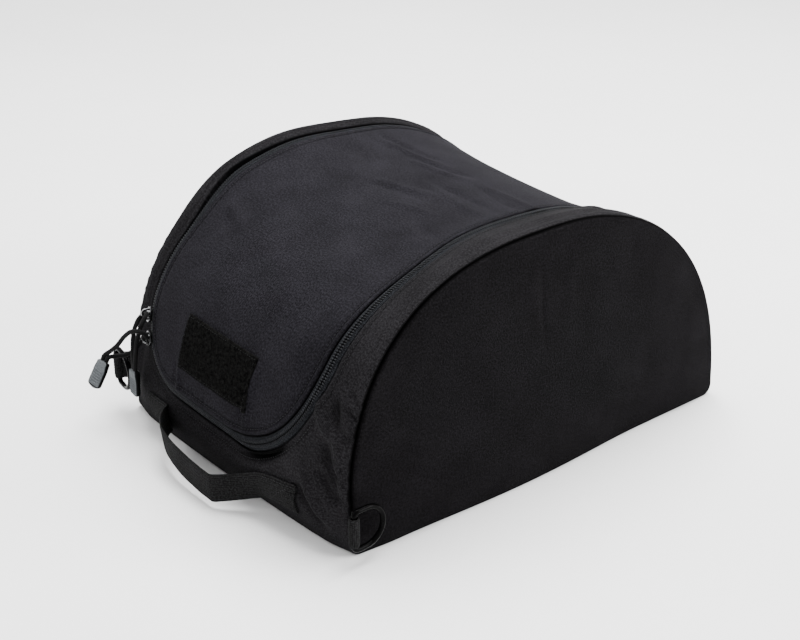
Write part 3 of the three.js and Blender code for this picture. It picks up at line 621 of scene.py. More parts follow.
# %% Folds, lip and wall
FOLDS = [
    # x and s at the start, x and s at the end, height (a valley is negative), half width
    (-118, 380, -40, 404, -1.7, 4.5), (-112, 372, -30, 396, 1.7, 4), (-62, 380, 4, 400, -1.9, 4),
    (-55, 372, 10, 390, 1.7, 3.6), (-45, 312, 36, 330, -1.4, 5), (-40, 324, 40, 340, 1.3, 5),
    (-15, 362, 92, 352, -1.6, 4), (-5, 350, 96, 340, 1.4, 4), (20, 384, 100, 372, -1.6, 4),
    (30, 394, 104, 384, 1.3, 4), (0, 300, 60, 318, 1.1, 4), (40, 300, 98, 282, -1.4, 6),
    (-100, 330, -20, 300, 1.2, 12), (-92, 262, -60, 205, 1.5, 9), (-108, 214, -70, 190, 2.0, 6),
    (-102, 204, -64, 180, -1.8, 6), (46, 120, 41, 64, 3.2, 3.2), (37, 112, 34, 62, -2.4, 4),
    (-58, 80, -52, 60, 2.0, 3), (-64, 86, -58, 62, -1.4, 3), (60, 250, 20, 150, 1.0, 14),
    (82, 210, 102, 176, -1.2, 6), (70, 160, 90, 128, 1.2, 6),
    (116, 124, 133, 92, 4.2, 4.5), (127, 128, 143, 96, -4.0, 4.5), (137, 108, 148, 60, 3.8, 4),
    (129, 96, 141, 52, -3.8, 4.5), (108, 58, 140, 24, 4.4, 5), (100, 50, 130, 20, -3.8, 6),
    (120, 70, 146, 44, -3.2, 4.5), (-136, 90, -146, 40, 1.6, 6), (-128, 84, -140, 30, -1.6, 6),
    (138, 134, 154, 127, -2.3, 2.4), (139, 122, 154, 117, -2.3, 2.4), (138, 82, 154, 77, -2.3, 2.6),
    (137, 71, 154, 65, -2.5, 2.6), (141, 104, 154, 100, -1.6, 2.4), (136, 53, 154, 46, -2.0, 2.8),
    (-70, 30, 60, 36, 1.0, 9), (-60, 640, 70, 628, 1.6, 14), (40, 560, 110, 610, -1.4, 12),
    (-120, 560, -60, 606, -1.4, 12),
]
FOLD_FADE = ((-0.15, 0.35), (0.6, 1.15))
FOLD_WANDER = 0.35
RIPPLE = 0.35
WALL = {"slope_step": 2, "off_hem": (2, 14), "lowest": 0.1}
CORNER = {"depth": 3.4, "from_x": 122, "fade": (15, 75)}
LIP = {
    "front": 9.0, "left": 5.0, "rise": 0.35, "inward": 18.0, "outward": 16.0,
    "left_x": (-115, -75), "ends_x": (15, 60), "ends_s": (470, 570), "off_seam": (139, 151),
}


def folded(u, v, table):
    """Ridges and valleys along the lines of a table, fading toward their ends."""
    out = RIPPLE * np.sin(u / 23 + 0.7 * np.sin(v / 31)) * np.sin(v / 27 + 0.4)
    for u0, v0, u1, v1, high, wide in table:
        long = math.hypot(u1 - u0, v1 - v0)
        t = ((u - u0) * (u1 - u0) + (v - v0) * (v1 - v0)) / long**2
        aside = ((u - u0) * (v1 - v0) - (v - v0) * (u1 - u0)) / long
        aside = aside + FOLD_WANDER * wide * np.sin(5 * t + u0)
        out = out + high * between(*FOLD_FADE, t) * hump(aside, 0, wide)
    return out


def lip(x, s):
    """Along the front and left the lid's edge stands out and the zip rolls in below it."""
    inside, _ = edge_place(x, s)
    size = LIP["left"] + (LIP["front"] - LIP["left"]) * ease(*LIP["left_x"], x)
    size = size * (1 - ease(*LIP["ends_x"], x)) * (1 - ease(*LIP["ends_s"], s))
    size = size * (1 - ease(*LIP["off_seam"], np.abs(x)))
    proud = LIP["rise"] * np.exp(-np.maximum(inside, 0) / LIP["inward"])
    across = np.clip(-inside / ZIP_WIDTH, 0, 1)
    below = np.exp(-((np.maximum(-inside - ZIP_WIDTH, 0) / LIP["outward"]) ** 1.5))
    return size * np.where(inside > 0, proud, (LIP["rise"] - across) * below)


def corner(x, s):
    """The front bottom corners are soft: the front wall draws back toward its ends."""
    to_end = ease(CORNER["from_x"], BAG["half"], np.abs(x))
    return -CORNER["depth"] * to_end * (1 - ease(*CORNER["fade"], s))


def off_hems(start, end, s):
    """0 on both hems of the wall, and 1 from a little way off them."""
    return between((start, end), (HEM - end, HEM - start), s)


def wall(x, s, lift=0.0, relief=True):
    """Points of the wall at (x, s), raised by lift along its face; plain without relief."""
    x, s, lift = np.broadcast_arrays(*(np.asarray(v, float) for v in (x, s, lift)))
    before, after = (np.clip(s + step, 0, HEM) for step in (-WALL["slope_step"], WALL["slope_step"]))
    dy, dz = (np.interp(after, ARCH[0], line) - np.interp(before, ARCH[0], line) for line in ARCH[1:])
    long = np.hypot(dy, dz)
    out = softness(x, s) + lift
    drawn = bow(x, s)
    if relief:
        out = out + (folded(x, s, FOLDS) + lip(x, s)) * off_hems(*WALL["off_hem"], s)
        drawn = drawn + corner(x, s)
    y = np.interp(s, ARCH[0], ARCH[1]) - dz / long * out - drawn
    z = np.maximum(np.interp(s, ARCH[0], ARCH[2]) + dy / long * out, WALL["lowest"])
    return np.stack([x, y - BAG["lean"] * x / BAG["half"] * np.clip(z / BAG["height"], 0, 1), z], -1)


# %% [markdown]
# The lid is one cut of cloth. A grid is laid over it in rows from front to back, with the
# columns close together near its edges, where the hem needs them. Each point is then raised by
# the hem's profile: the turned edge rolls under, the topstitch draws a dip, and beyond it the
# cloth gathers in small puckers, more at the front and on the left.

# %% Lid
LID_GRID = {"wide": 230.0, "step": 2.6}
LID_CLOTH_THICK = 2.2
INNER_FOLLOWS = {"lid": 0.4, "collar": 0.8, "end": 0.6}
EDGE_STEPS = np.array([0, 0.5, 1.1, 1.8, 2.7, 3.8, 5.2, 7.2, 10.0])
TOPSTITCH = 4.8
HEM_EDGE = {"roll": 1.7, "shoulder": (-0.9, 9), "ridge": (0.5, 2.4, 1.3), "dip": (-0.85, TOPSTITCH, 1.2)}
PUCKER = {"at": 6.5, "half": 3.4, "least": 0.3, "more": 0.35, "left_x": (-40, 60), "front_s": (150, 260)}
BACK_SEAM = {"deep": 1.6, "half": 3.0}
# Painted shade: a dark slit in the zip on the right past the crest, and a darker lid edge over the stretch
# around it.
PAINTED_SLIT = {"s": 380, "half": 9, "rise": (300, 345), "fall": (430, 470)}
GAPE = {"high": 2.4, "s": 442, "half": 18, "reach": 5}
LID_SHADE = {"edge": (0.9, 0.9), "stitch": (0.35, 0.9), "past_crest": 0.5, "slit_shade": 1.2, "reach": 3.4}


def hem_profile(inside, along, pucker):
    """Lift near a turned and topstitched edge."""
    roll = -HEM_EDGE["roll"] * (1 - np.sqrt(np.maximum(0, 1 - near(inside, HEM_EDGE["roll"]) ** 2)))
    ridge, dip = (high * hump(inside, at, half) for high, at, half in (HEM_EDGE["ridge"], HEM_EDGE["dip"]))
    shoulder = HEM_EDGE["shoulder"][0] * np.exp(-inside / HEM_EDGE["shoulder"][1])
    wave = np.sin(along * 0.92 + 1.3 * np.sin(along * 0.13)) * (0.6 + 0.4 * np.sin(along * 0.31))
    return roll + ridge + dip + shoulder + pucker * wave * hump(inside, PUCKER["at"], PUCKER["half"])


def slit_shade(x, s):
    """Painted shade for a dark gap along the zip on the right, just past the crest."""
    return hump(s, PAINTED_SLIT["s"], PAINTED_SLIT["half"]) * (x > 0)


def lid_side(side, s):
    """The lid's edge at s, round corner included."""
    sign, turn_at, radius = TURNS[side]
    up = np.clip(turn_at[1] - s, 0, radius)
    return np.where(s < turn_at[1], turn_at[0] + sign * np.sqrt(radius**2 - up**2), side_x(side, s))


def spaced(length, first, step):
    """Places from 0 to length: close at both ends, even between."""
    middle = np.linspace(first[-1], length - first[-1], max(3, int((length - 2 * first[-1]) / step)))
    return np.concatenate([first[:-1], middle, (length - first[:-1])[::-1]])


lid_rows = LID["front"] + spaced(LID["back"] - LID["front"], EDGE_STEPS, LID_GRID["step"])
columns = spaced(LID_GRID["wide"], EDGE_STEPS, LID_GRID["step"]) / LID_GRID["wide"]
left_edge, right_edge = (lid_side(side, lid_rows)[:, None] for side in ("left", "right"))
lid_x = left_edge + (right_edge - left_edge) * columns
lid_s = np.repeat(lid_rows[:, None], len(columns), 1)
inside, along = edge_place(lid_x, lid_s)
to_front_left = (1 - ease(*PUCKER["left_x"], lid_x)) * (1 - ease(*PUCKER["front_s"], lid_s))
lift = hem_profile(np.maximum(inside, 0), along, PUCKER["least"] + PUCKER["more"] * to_front_left)
outer = wall(lid_x, lid_s, lift - BACK_SEAM["deep"] * hump(lid_s, LID["back"], BACK_SEAM["half"]))
inner = wall(lid_x, lid_s, np.minimum(lift, 0) * INNER_FOLLOWS["lid"] - LID_CLOTH_THICK)
# Painted shade on the lid: along its edge, in the topstitch dip, past the crest and at the slit.
dark, reach = LID_SHADE["edge"]
lid_painted_shade = dark * near(inside, reach)
dark, reach = LID_SHADE["stitch"]
lid_painted_shade += dark * hump(inside, TOPSTITCH, reach)
past_crest = between(PAINTED_SLIT["rise"], PAINTED_SLIT["fall"], lid_s) * (lid_x > 0)
gap = LID_SHADE["past_crest"] * past_crest + LID_SHADE["slit_shade"] * slit_shade(lid_x, lid_s)
lid_painted_shade += gap * near(inside, LID_SHADE["reach"])
lid_cut = np.stack([lid_x, lid_s], -1)
lid = to_piece("lid", *two_faced(outer, inner), LID_CLOTH, lid_cut, crease_shade=lid_painted_shade)

# %% [markdown]
# The body's cloth is a collar round the lid's opening: front panel, two gussets and back. Its
# rows run from the opening out to the seams with the end panels and the hem. The opening has
# the same topstitched edge as the lid. At the seams the cloth curls down and in, which leaves
# the groove of the photograph, darkened further by painted shade, and at the right front corner
# it tucks in under the zip.

# %% Body collar
SEAM_X = 153.4
SEAM_DROP = {"deep": 1.9, "shallow": 0.3}
SEAM_CURL = {"deep": 1.8, "shallow": 0.2}
SEAM_FADES = (320, 420)
SEAM_STEPS = np.array([0, 0.35, 0.8, 1.3, 1.9, 2.8, 4.2, 6.2])
SEAM_ROLL = {
    "reach": 2.2, "curl_reach": 1.8, "high": 0.9, "at": 4.6, "half": 3.0,
    "gather": 0.5, "gather_ends": (130, 220),
}
BACK_SPREAD = 260
BACK_GAP = 0.3
BACK_STATIONS = 96
MIDDLE_ROWS = 24
FINE_SHARE = 0.8
PUFF = {"out": 3.6, "from_seam": 12, "half": 8, "rise": (60, 140), "fall": (220, 300), "left_over": 0.3}
TUCK = {"deep": 8, "outside": 2.4, "half": 3.3, "starts": 1.1, "x": 67, "half_x": 21, "fade": (66, 112)}
CRUMPLE = {"high": 0.45, "from_x": (96, 122), "fade": (110, 170)}
COLLAR_INSIDE = 150.8


def collar_lines(walk):
    """Opening and outer edge of the collar, station by station, right round."""
    open_x, open_s = beside(walk, ZIP_WIDTH)
    out_x, out_s = [], []
    for x, s, _, _, turn, side in walk:
        middle, start = RIGHT_TURN if side > 0 else LEFT_TURN
        if turn == 0:
            near_back = near(max(0, LID["back"] - s), BACK_SPREAD)
            place = (side * SEAM_X, s + (HEM - LID["back"]) * near_back**2)
        elif side == 0:
            place = (x, 0.0)
        elif turn < 45:
            place = (side * SEAM_X, start * (1 - turn / 45))
        else:
            place = (side * SEAM_X + (middle - side * SEAM_X) * (turn / 45 - 1), 0.0)
        out_x.append(place[0])
        out_s.append(place[1])
    open_s[[0, -1]] = LID["back"] + BACK_GAP
    t = np.linspace(0, 1, BACK_STATIONS)[1:-1]
    open_x = np.concatenate([open_x, open_x[-1] + (open_x[0] - open_x[-1]) * t])
    open_s = np.concatenate([open_s, np.full(len(t), LID["back"] + BACK_GAP)])
    out_x = np.concatenate([out_x, -SEAM_X + 2 * SEAM_X * t])
    out_s = np.concatenate([out_s, np.full(len(t), HEM)])
    return open_x, open_s, out_x, out_s


def at_seam(size, x, s):
    """A size along the seams with the end panels: less on the left and over the back."""
    deep = (x > 0) * (1 - ease(*SEAM_FADES, s))
    return size["shallow"] + (size["deep"] - size["shallow"]) * deep


def puff(x, s):
    """The left gusset is puffed out between the zip and the seam."""
    along = ease(*PUFF["rise"], s) * (1 - (1 - PUFF["left_over"]) * ease(*PUFF["fall"], s))
    return PUFF["out"] * along * hump(SEAM_X + x, PUFF["from_seam"], PUFF["half"]) * (x < 0)


def crumple(x, s):
    """Uneven crumpling of the right gusset, low down."""
    wave = np.sin(x / 5.3 + 1.7 * np.sin(s / 11)) * np.sin(s / 7.1 + 1.3 * np.sin(x / 8))
    return CRUMPLE["high"] * wave * ease(*CRUMPLE["from_x"], x) * (1 - ease(*CRUMPLE["fade"], s))


open_x, open_s, out_x, out_s = collar_lines(walk)
span = np.hypot(out_x - open_x, out_s - open_s)
fine = np.minimum(1, FINE_SHARE * span / (EDGE_STEPS[-1] + SEAM_STEPS[-1]))
first = EDGE_STEPS[:, None] * fine
last = span - SEAM_STEPS[::-1, None] * fine
middle_rows = np.linspace(0, 1, MIDDLE_ROWS)[1:-1, None]
rows = np.concatenate([first, first[-1] + (last[0] - first[-1]) * middle_rows, last]) / span
body_x = open_x + (out_x - open_x) * rows
body_s = open_s + (out_s - open_s) * rows
print("collar grid:", body_x.shape)

# %% [markdown]
# With the grid laid, the collar's relief is a sum: the hem of the opening, the roll and the
# gathers along the seams, the tuck under the zip at the right front corner, the crumpled right
# gusset, the puffed left one, and the small lip where the zip gapes. Painted shade follows the
# same measures: it is dark along the seams, in the tuck, in fold valleys, under the lip, under
# the opening's edge and at the slit in the zip.

# %% Relief of the collar
OPENING = {"hem": 0.45, "pucker": 0.6, "back_pucker": 0.4}
COLLAR_OFF_HEM = (2, 12)
# Weights and reaches of the collar's painted shade, and the depths at which it is darkest.
SHADE = {"edge": 0.9, "stitch": 0.3, "seam": 1.5, "tuck": 1.7, "valley_shade": 0.35, "lip": 0.1, "slit_shade": 1.6}
SHADE_REACH = {"edge": 0.9, "stitch": 0.9, "seam": 1.9, "slit_shade": 2.5, "lip": (6, 16)}
FULL_SHADE_DEPTH = {"valley_shade": 2.4, "lip": 5.0}

inside, along = edge_place(body_x, body_s)
outside = np.maximum(0, -inside - ZIP_WIDTH)
to_seam = SEAM_X - np.abs(body_x)
at_back = ease(LID["back"] - 1, LID["back"] + 1, body_s)
off_hem = off_hems(*COLLAR_OFF_HEM, body_s)

gather = np.sin(body_s * 0.62 + 2 * np.sin(body_s * 0.11)) * (1 - ease(*SEAM_ROLL["gather_ends"], body_s))
roll = -at_seam(SEAM_DROP, body_x, body_s) * near(to_seam, SEAM_ROLL["reach"]) ** 2
full = SEAM_ROLL["high"] + SEAM_ROLL["gather"] * gather
roll += full * hump(to_seam, SEAM_ROLL["at"], SEAM_ROLL["half"])
tuck = hump(outside, TUCK["outside"], TUCK["half"]) * ease(0, TUCK["starts"], outside) * (1 - at_back)
tuck *= hump(body_x, TUCK["x"], TUCK["half_x"]) * (1 - ease(*TUCK["fade"], body_s))
gape = GAPE["high"] * hump(body_s, GAPE["s"], GAPE["half"]) * (body_x > 0)
lift = OPENING["hem"] * hem_profile(outside, along, OPENING["pucker"]) * (1 - at_back)
lift += at_back * hem_profile(np.maximum(0, body_s - LID["back"]), body_x, OPENING["back_pucker"])
lift += (roll + crumple(body_x, body_s)) * off_hem - TUCK["deep"] * tuck
lift += puff(body_x, body_s) + gape * hump(outside, 0, GAPE["reach"])

# Painted shade in the collar: in fold valleys, under the lip, at the opening's edge and topstitch, along
# the seams, in the tuck and at the slit.
valley_shade = np.clip(-folded(body_x, body_s, FOLDS) / FULL_SHADE_DEPTH["valley_shade"], 0, 1) ** 2
shade_under_lip = np.clip(-lip(body_x, body_s) / FULL_SHADE_DEPTH["lip"], 0, 1)
shade_under_lip = shade_under_lip * (1 - ease(*SHADE_REACH["lip"], outside))
crease_shade = SHADE["edge"] * near(outside, SHADE_REACH["edge"])
crease_shade += SHADE["stitch"] * hump(outside, TOPSTITCH, SHADE_REACH["stitch"])
crease_shade = crease_shade * (1 - at_back) + SHADE["seam"] * near(to_seam, SHADE_REACH["seam"]) * off_hem
crease_shade += SHADE["tuck"] * tuck + SHADE["valley_shade"] * valley_shade + SHADE["lip"] * shade_under_lip
crease_shade += SHADE["slit_shade"] * slit_shade(body_x, body_s) * near(outside, SHADE_REACH["slit_shade"])

curl = at_seam(SEAM_CURL, body_x, body_s) * near(to_seam, SEAM_ROLL["curl_reach"]) ** 2
curled_x = body_x - np.sign(body_x) * curl
outer = wall(body_x, body_s, lift)
outer[..., 0] = curled_x
inner = wall(body_x, body_s, np.minimum(lift, 0) * INNER_FOLLOWS["collar"] - LID_CLOTH_THICK)
inner[..., 0] = np.clip(curled_x, -COLLAR_INSIDE, COLLAR_INSIDE)
body_cut = np.stack([body_x, body_s], -1)
body = to_piece("body_collar", *two_faced(outer, inner, ring=True), GUSSET_CLOTH, body_cut, crease_shade=crease_shade)

# %% [markdown]
# The two end panels are padded: half-round pads, gently domed, with their rim drawn down into
# the seam. A round grid that shrinks toward the middle follows the arch exactly, and its rings
# crowd near the rim for the roll. A cloth simulation gives the pad its swell: an even grid over
# the same half-round is held along its rim, cut a little too large and blown up softly from
# inside. What it moved is added to the fine grid, with the folds that the photograph shows.

# %% Swell of the end pads
END_MIDDLE = np.array([0.0, 0.42 * BAG["height"]])
PAD = {
    "off_hem": (4, 24), "bottom": 120, "mesh": 6.0, "round": 15, "in": 2, "held": 9,
    "most": 2.6, "settle": 3,
}
PAD_CLOTH = {"frames": 20, "quality": 6, "pressure": 1.6, "slack": 0.004, "stiffness": 2.0}


def end_outline(side):
    """The rim of an end panel in y and z: the arch, drawn in at the seam, and the flat bottom."""
    stretches = ((0, 12, 7), (14, HEM - 20, 230), (HEM - 18, HEM, 9))
    s = np.concatenate([np.linspace(*stretch) for stretch in stretches])
    drop = at_seam(SEAM_DROP, side, s) * off_hems(*PAD["off_hem"], s)
    arch = wall(side * BAG["half"], s, -drop, relief=False)
    arch[:, 1] -= corner(BAG["half"], s)
    bottom = arch[-1] + (arch[0] - arch[-1]) * np.linspace(0, 1, PAD["bottom"])[1:-1, None]
    return np.concatenate([arch, bottom])[:, 1:]


def blown_up(trial):
    """Where a cloth held along its rim goes when it is a little too large and blown up."""
    cloth = trial.modifiers.new("settle", "CLOTH")
    cloth.settings.quality = PAD_CLOTH["quality"]
    cloth.settings.vertex_group_mass = "rim"
    cloth.settings.shrink_min = -PAD_CLOTH["slack"]
    cloth.settings.bending_stiffness = PAD_CLOTH["stiffness"]
    cloth.settings.use_pressure = True
    cloth.settings.uniform_pressure_force = PAD_CLOTH["pressure"]
    cloth.settings.effector_weights.gravity = 0
    cloth.collision_settings.use_collision = False
    for count in range(1, PAD_CLOTH["frames"] + 1):
        bpy.context.scene.frame_set(count)
    settled = trial.evaluated_get(bpy.context.evaluated_depsgraph_get()).data.vertices
    moved = np.zeros(len(settled) * 3)
    settled.foreach_get("co", moved)
    bpy.context.scene.frame_set(1)
    return moved.reshape(-1, 3)


def pad_swell(side):
    """An even grid of y and z, and how far the blown-up cloth moves out at each of its points."""
    rays = end_outline(side) - END_MIDDLE
    y = np.arange(-BAG["depth"] / 2 - PAD["round"], BAG["depth"] / 2 + PAD["round"], PAD["mesh"])
    z = np.arange(-PAD["mesh"], BAG["height"] + PAD["mesh"], PAD["mesh"])
    yy, zz = np.meshgrid(y, z, indexing="ij")
    up = zz - END_MIDDLE[1]
    angle = np.arctan2(rays[:, 1], rays[:, 0])
    order = np.argsort(angle)
    far = np.linalg.norm(rays, axis=1)
    reach = np.interp(np.arctan2(up, yy), angle[order], far[order], period=2 * math.pi) - PAD["in"]
    kept = np.hypot(yy, up) < reach
    held = np.hypot(yy, up) > reach - PAD["held"]
    number = np.where(kept, np.cumsum(kept.ravel()).reshape(kept.shape) - 1, -1)
    start = np.stack([np.full(kept.sum(), side * BAG["half"]), yy[kept], zz[kept]], -1) * MM
    quads = [number[:-1, :-1], number[1:, :-1], number[1:, 1:], number[:-1, 1:]]
    quads = np.stack(quads, -1).reshape(-1, 4)
    quads = quads[(quads >= 0).all(1)]
    mesh = bpy.data.meshes.new("pad_trial")
    mesh.from_pydata(start.tolist(), [], (quads if side > 0 else quads[:, ::-1]).tolist())
    trial = placed("pad_trial", mesh)
    trial.vertex_groups.new(name="rim").add(number[kept & held].tolist(), 1.0, "REPLACE")
    moved = blown_up(trial)
    bpy.data.objects.remove(trial)
    out = np.zeros(kept.shape)
    out[kept] = side * (moved - start)[:, 0] / MM
    for _ in range(PAD["settle"]):
        out = np.where(kept, (2 * out + np.roll(out, 1, 0) + np.roll(out, -1, 0)) / 4, 0)
        out = np.where(kept, (2 * out + np.roll(out, 1, 1) + np.roll(out, -1, 1)) / 4, 0)
    print("pad moved out by up to, mm:", round(float(out.max()), 2), "least", round(float(out.min()), 2))
    return y, z, PAD["most"] * np.tanh(out / PAD["most"])


def on_grid(y, z, values, at_y, at_z):
    """Values of an even grid, mixed for places between its points."""
    i = np.clip((at_y - y[0]) / PAD["mesh"], 0, len(y) - 1.001)
    j = np.clip((at_z - z[0]) / PAD["mesh"], 0, len(z) - 1.001)
    a, b = i.astype(int), j.astype(int)
    u, v = ease(0, 1, i - a), ease(0, 1, j - b)
    low = values[a, b] * (1 - u) + values[a + 1, b] * u
    high = values[a, b + 1] * (1 - u) + values[a + 1, b + 1] * u
    return low * (1 - v) + high * v


# %% [markdown]
# Now the pads themselves: the fine round grid, domed, with its rim rolled into the seam, the
# folds of the photograph, the simulated swell, and a belly low down where the padding sinks.

# %% End panels
RIM_STEPS = np.array([0.0, 0.4, 0.9, 1.5, 2.4, 3.6, 5.5, 8.5, 12.0])
END_FOLDS = [
    # y and z at the start, y and z at the end, height, half width
    (-194, 104, -118, 66, 2.0, 6), (-198, 86, -130, 40, -2.1, 6), (-194, 70, -108, 20, 2.0, 6),
    (-198, 52, -120, 10, -1.6, 6), (-23, 190, -18, 118, -0.55, 2.6), (16, 200, 4, 130, 0.5, 7),
    (-30, 200, -26, 130, 0.3, 7), (150, 96, 196, 60, 0.8, 10), (-60, 120, 60, 60, 0.5, 26),
]
END_DOME = 3.2
END_RINGS = 40
END_INNERMOST = 0.04
END_THICK = 4.2
RIM_ROLL = {"deep": 3.4, "shallow": 1.0}
RIM = {"on_arch": (2, 14), "reach": 2.3, "power": 1.6, "folds": (3, 14), "crease_shade": 1.5, "crease_reach": 1.4}
BELLY = {"out": 5, "middle": -30, "reach": 138, "high": 110}
DRAWN = {"in": 3.0, "y": (-206, -160), "z": (10, 70)}


def belly(y, z):
    """How far the padding stands out low down."""
    along = np.maximum(0, 1 - ((y - BELLY["middle"]) / BELLY["reach"]) ** 2)
    return BELLY["out"] * along**2 * (1 - ease(0, BELLY["high"], z))


def end_panel(name, side):
    outline = end_outline(side)
    far = np.linalg.norm(outline - END_MIDDLE, axis=1)
    inner_rings = np.linspace(1, END_INNERMOST, END_RINGS)[1:, None] * (1 - RIM_STEPS[-1] / far)
    shrink = np.concatenate([1 - RIM_STEPS[:, None] / far, inner_rings])
    place = END_MIDDLE + (outline - END_MIDDLE) * shrink[..., None]
    y, z = place[..., 0], place[..., 1]
    from_rim = (1 - shrink) * far
    on_arch = ease(*RIM["on_arch"], z)
    rim = at_seam(RIM_ROLL, side, HEM / 2 + y) * near(from_rim, RIM["reach"]) ** RIM["power"] * on_arch
    swell = folded(y, z, END_FOLDS) * ease(*RIM["folds"], from_rim)
    swell += on_grid(*pad_swell(side), y, z)
    drawn = DRAWN["in"] * (1 - ease(*DRAWN["y"], y)) * (1 - ease(*DRAWN["z"], z))
    dome = END_DOME * (1 - shrink**2)
    outer = np.stack([side * (BAG["half"] + dome - rim + swell + belly(y, z) - drawn), y, z], -1)
    inner = np.stack([side * (BAG["half"] - END_THICK + dome * INNER_FOLLOWS["end"] - drawn), y, z], -1)
    rows, columns = shrink.shape
    count = rows * columns
    points, faces = two_faced(outer, inner, ring=True)
    faces = [f for f in faces if not all(n % count >= count - columns for n in f)]
    faces += [list(range(count - columns, count)), list(range(2 * count - columns, 2 * count))]
    # Painted shade in the seam groove round the pad's rim.
    crease_shade = RIM["crease_shade"] * near(from_rim, RIM["crease_reach"]) * on_arch
    return to_piece(name, points, faces, END_CLOTH, place, crease_shade=crease_shade)


end_right = end_panel("end_pad_right", 1)
end_left = end_panel("end_pad_left", -1)

# %% [markdown]
# The base is hidden in the photograph. It is a plain panel of the same cloth with soft edges,
# a hair above the floor so that the two surfaces do not fight.

# %% Base
BASE = {"x": 150.4, "front": -199.4, "back": 192.4, "low": 0.15, "high": 2.6}
BASE_EDGE = {"round": 0.9, "reach": 4}
QUILT = {"high": 0.25, "x": 17, "y": 21}
BASE_COLUMNS = 62
BASE_ROWS = 80
across, deep = np.meshgrid(np.linspace(-1, 1, BASE_COLUMNS), np.linspace(0, 1, BASE_ROWS))
base_x = BASE["x"] * across
base_front = BASE["front"] - bow(base_x, 0.0)
base_y = base_front + (BASE["back"] - base_front) * deep
rim = np.minimum(np.minimum(BASE["x"] - np.abs(base_x), base_y - base_front), BASE["back"] - base_y)
soft = BASE_EDGE["round"] * near(rim, BASE_EDGE["reach"]) ** 2
quilt = QUILT["high"] * np.sin(base_x / QUILT["x"]) * np.sin(base_y / QUILT["y"])
top = np.stack([base_x, base_y, BASE["high"] - soft + quilt], -1)
under = np.stack([base_x, base_y, BASE["low"] + soft], -1)
base = to_piece("base_cloth", *two_faced(top, under), END_CLOTH, np.stack([base_x, base_y], -1))

# %% [markdown]
# A coil zip has two woven tapes, each sewn under a cloth edge, and a coil of nylon along each
# inner edge. The tapes are strips that dip under the lid and the body's edge.

# %% Zip tapes
TAPE_ACROSS = [
    # how far out from the lid's edge, and how high
    (-2.2, -3.7), (-0.9, -3.5), (0.1, -3.3), (0.7, -2.6),
    (1.5, -1.7), (2.6, -1.25), (4.0, -1.0), (6.05, -0.95),
]
TAPE_THICK = 0.9
# Painted shade on the tapes: dark where a tape dips low, in the gap between the coils, and at the slit.
TAPE_PAINTED_SHADE = {"low": (-2.6, -1.5), "gap": 0.5, "slit_shade": 1.5}
tape_run = walked(walk[:, :2])


def zip_tape(name, places):
    outer, inner, uv, crease_shade = [], [], [], []
    for away, high in places:
        x, s = beside(walk, away)
        outer.append(wall(x, s, high))
        inner.append(wall(x, s, high - TAPE_THICK))
        uv.append(np.stack([np.full(len(x), away), tape_run], -1))
        # Painted shade: dark in the middle gap and where the tape lies low under the cloth's edge.
        in_gap = abs(away - ZIP_WIDTH / 2) < TAPE_PAINTED_SHADE["gap"]
        dark = 1.0 if in_gap else np.interp(high, TAPE_PAINTED_SHADE["low"], (1.0, 0.0))
        crease_shade.append(dark + TAPE_PAINTED_SHADE["slit_shade"] * slit_shade(x, s))
    return to_piece(name, *two_faced(np.array(outer), np.array(inner)), TAPE_CLOTH, uv, crease_shade=crease_shade)


tape_lid = zip_tape("zip_tape_of_lid", TAPE_ACROSS)
tape_body = zip_tape("zip_tape_of_body", [(ZIP_WIDTH - away, high) for away, high in TAPE_ACROSS])

# %% [markdown]
# The coil's teeth and the stitches both repeat along a path, so Geometry Nodes place them. One
# tree does both: it takes lines of points, walks them at a given pitch, sets a small rounded
# bead at each step, turns it along the line and up from the cloth, and makes real mesh of it.

# %% A tree that sets beads along lines
BEAD = {"Segments": 6, "Rings": 4, "Radius": 0.5}


def geometry_tree(name, start, sizes, result):
    """A tree with its inputs and its result named, what it is given, and a way to add nodes."""
    tree = bpy.data.node_groups.new(name, "GeometryNodeTree")
    kinds = [(start, "Geometry")] + [(size, "Float") for size in sizes] + [("Finish", "Material")]
    for socket, kind in kinds:
        tree.interface.new_socket(socket, in_out="INPUT", socket_type="NodeSocket" + kind)
    tree.interface.new_socket(result, in_out="OUTPUT", socket_type="NodeSocketGeometry")
    return tree, tree.nodes.new("NodeGroupInput").outputs, adder(tree)


def bead_tree():
    sizes = ("Pitch", "Length", "Width", "Height")
    tree, given, add = geometry_tree("beads_along_lines", "Lines", sizes, "Beads")
    line = add("GeometryNodeMeshToCurve", {"Mesh": given["Lines"]})
    steps = add("GeometryNodeResampleCurve", {"Curve": line, "Length": given["Pitch"]}, mode="LENGTH")
    bead = add("GeometryNodeMeshUVSphere", BEAD)
    size = add("ShaderNodeCombineXYZ", dict(zip("XYZ", (given[name] for name in sizes[1:]))))
    way_up = add("GeometryNodeInputNamedAttribute", {"Name": "way_up"}, data_type="FLOAT_VECTOR")
    stand = add("FunctionNodeAlignRotationToVector", {"Vector": way_up}, axis="Z")
    heading = {"Rotation": stand, "Vector": add("GeometryNodeInputTangent")}
    turn = add("FunctionNodeAlignRotationToVector", heading, axis="X", pivot_axis="Z")
    set_out = {"Points": steps, "Instance": bead, "Rotation": turn, "Scale": size}
    beads = add("GeometryNodeInstanceOnPoints", set_out)
    real = add("GeometryNodeRealizeInstances", {"Geometry": beads})
    smooth = add("GeometryNodeSetShadeSmooth", {"Geometry": real})
    painted = add("GeometryNodeSetMaterial", {"Geometry": smooth, "Material": given["Finish"]})
    add("NodeGroupOutput", {"Beads": painted}, out=None)
    return tree


BEADS = bead_tree()


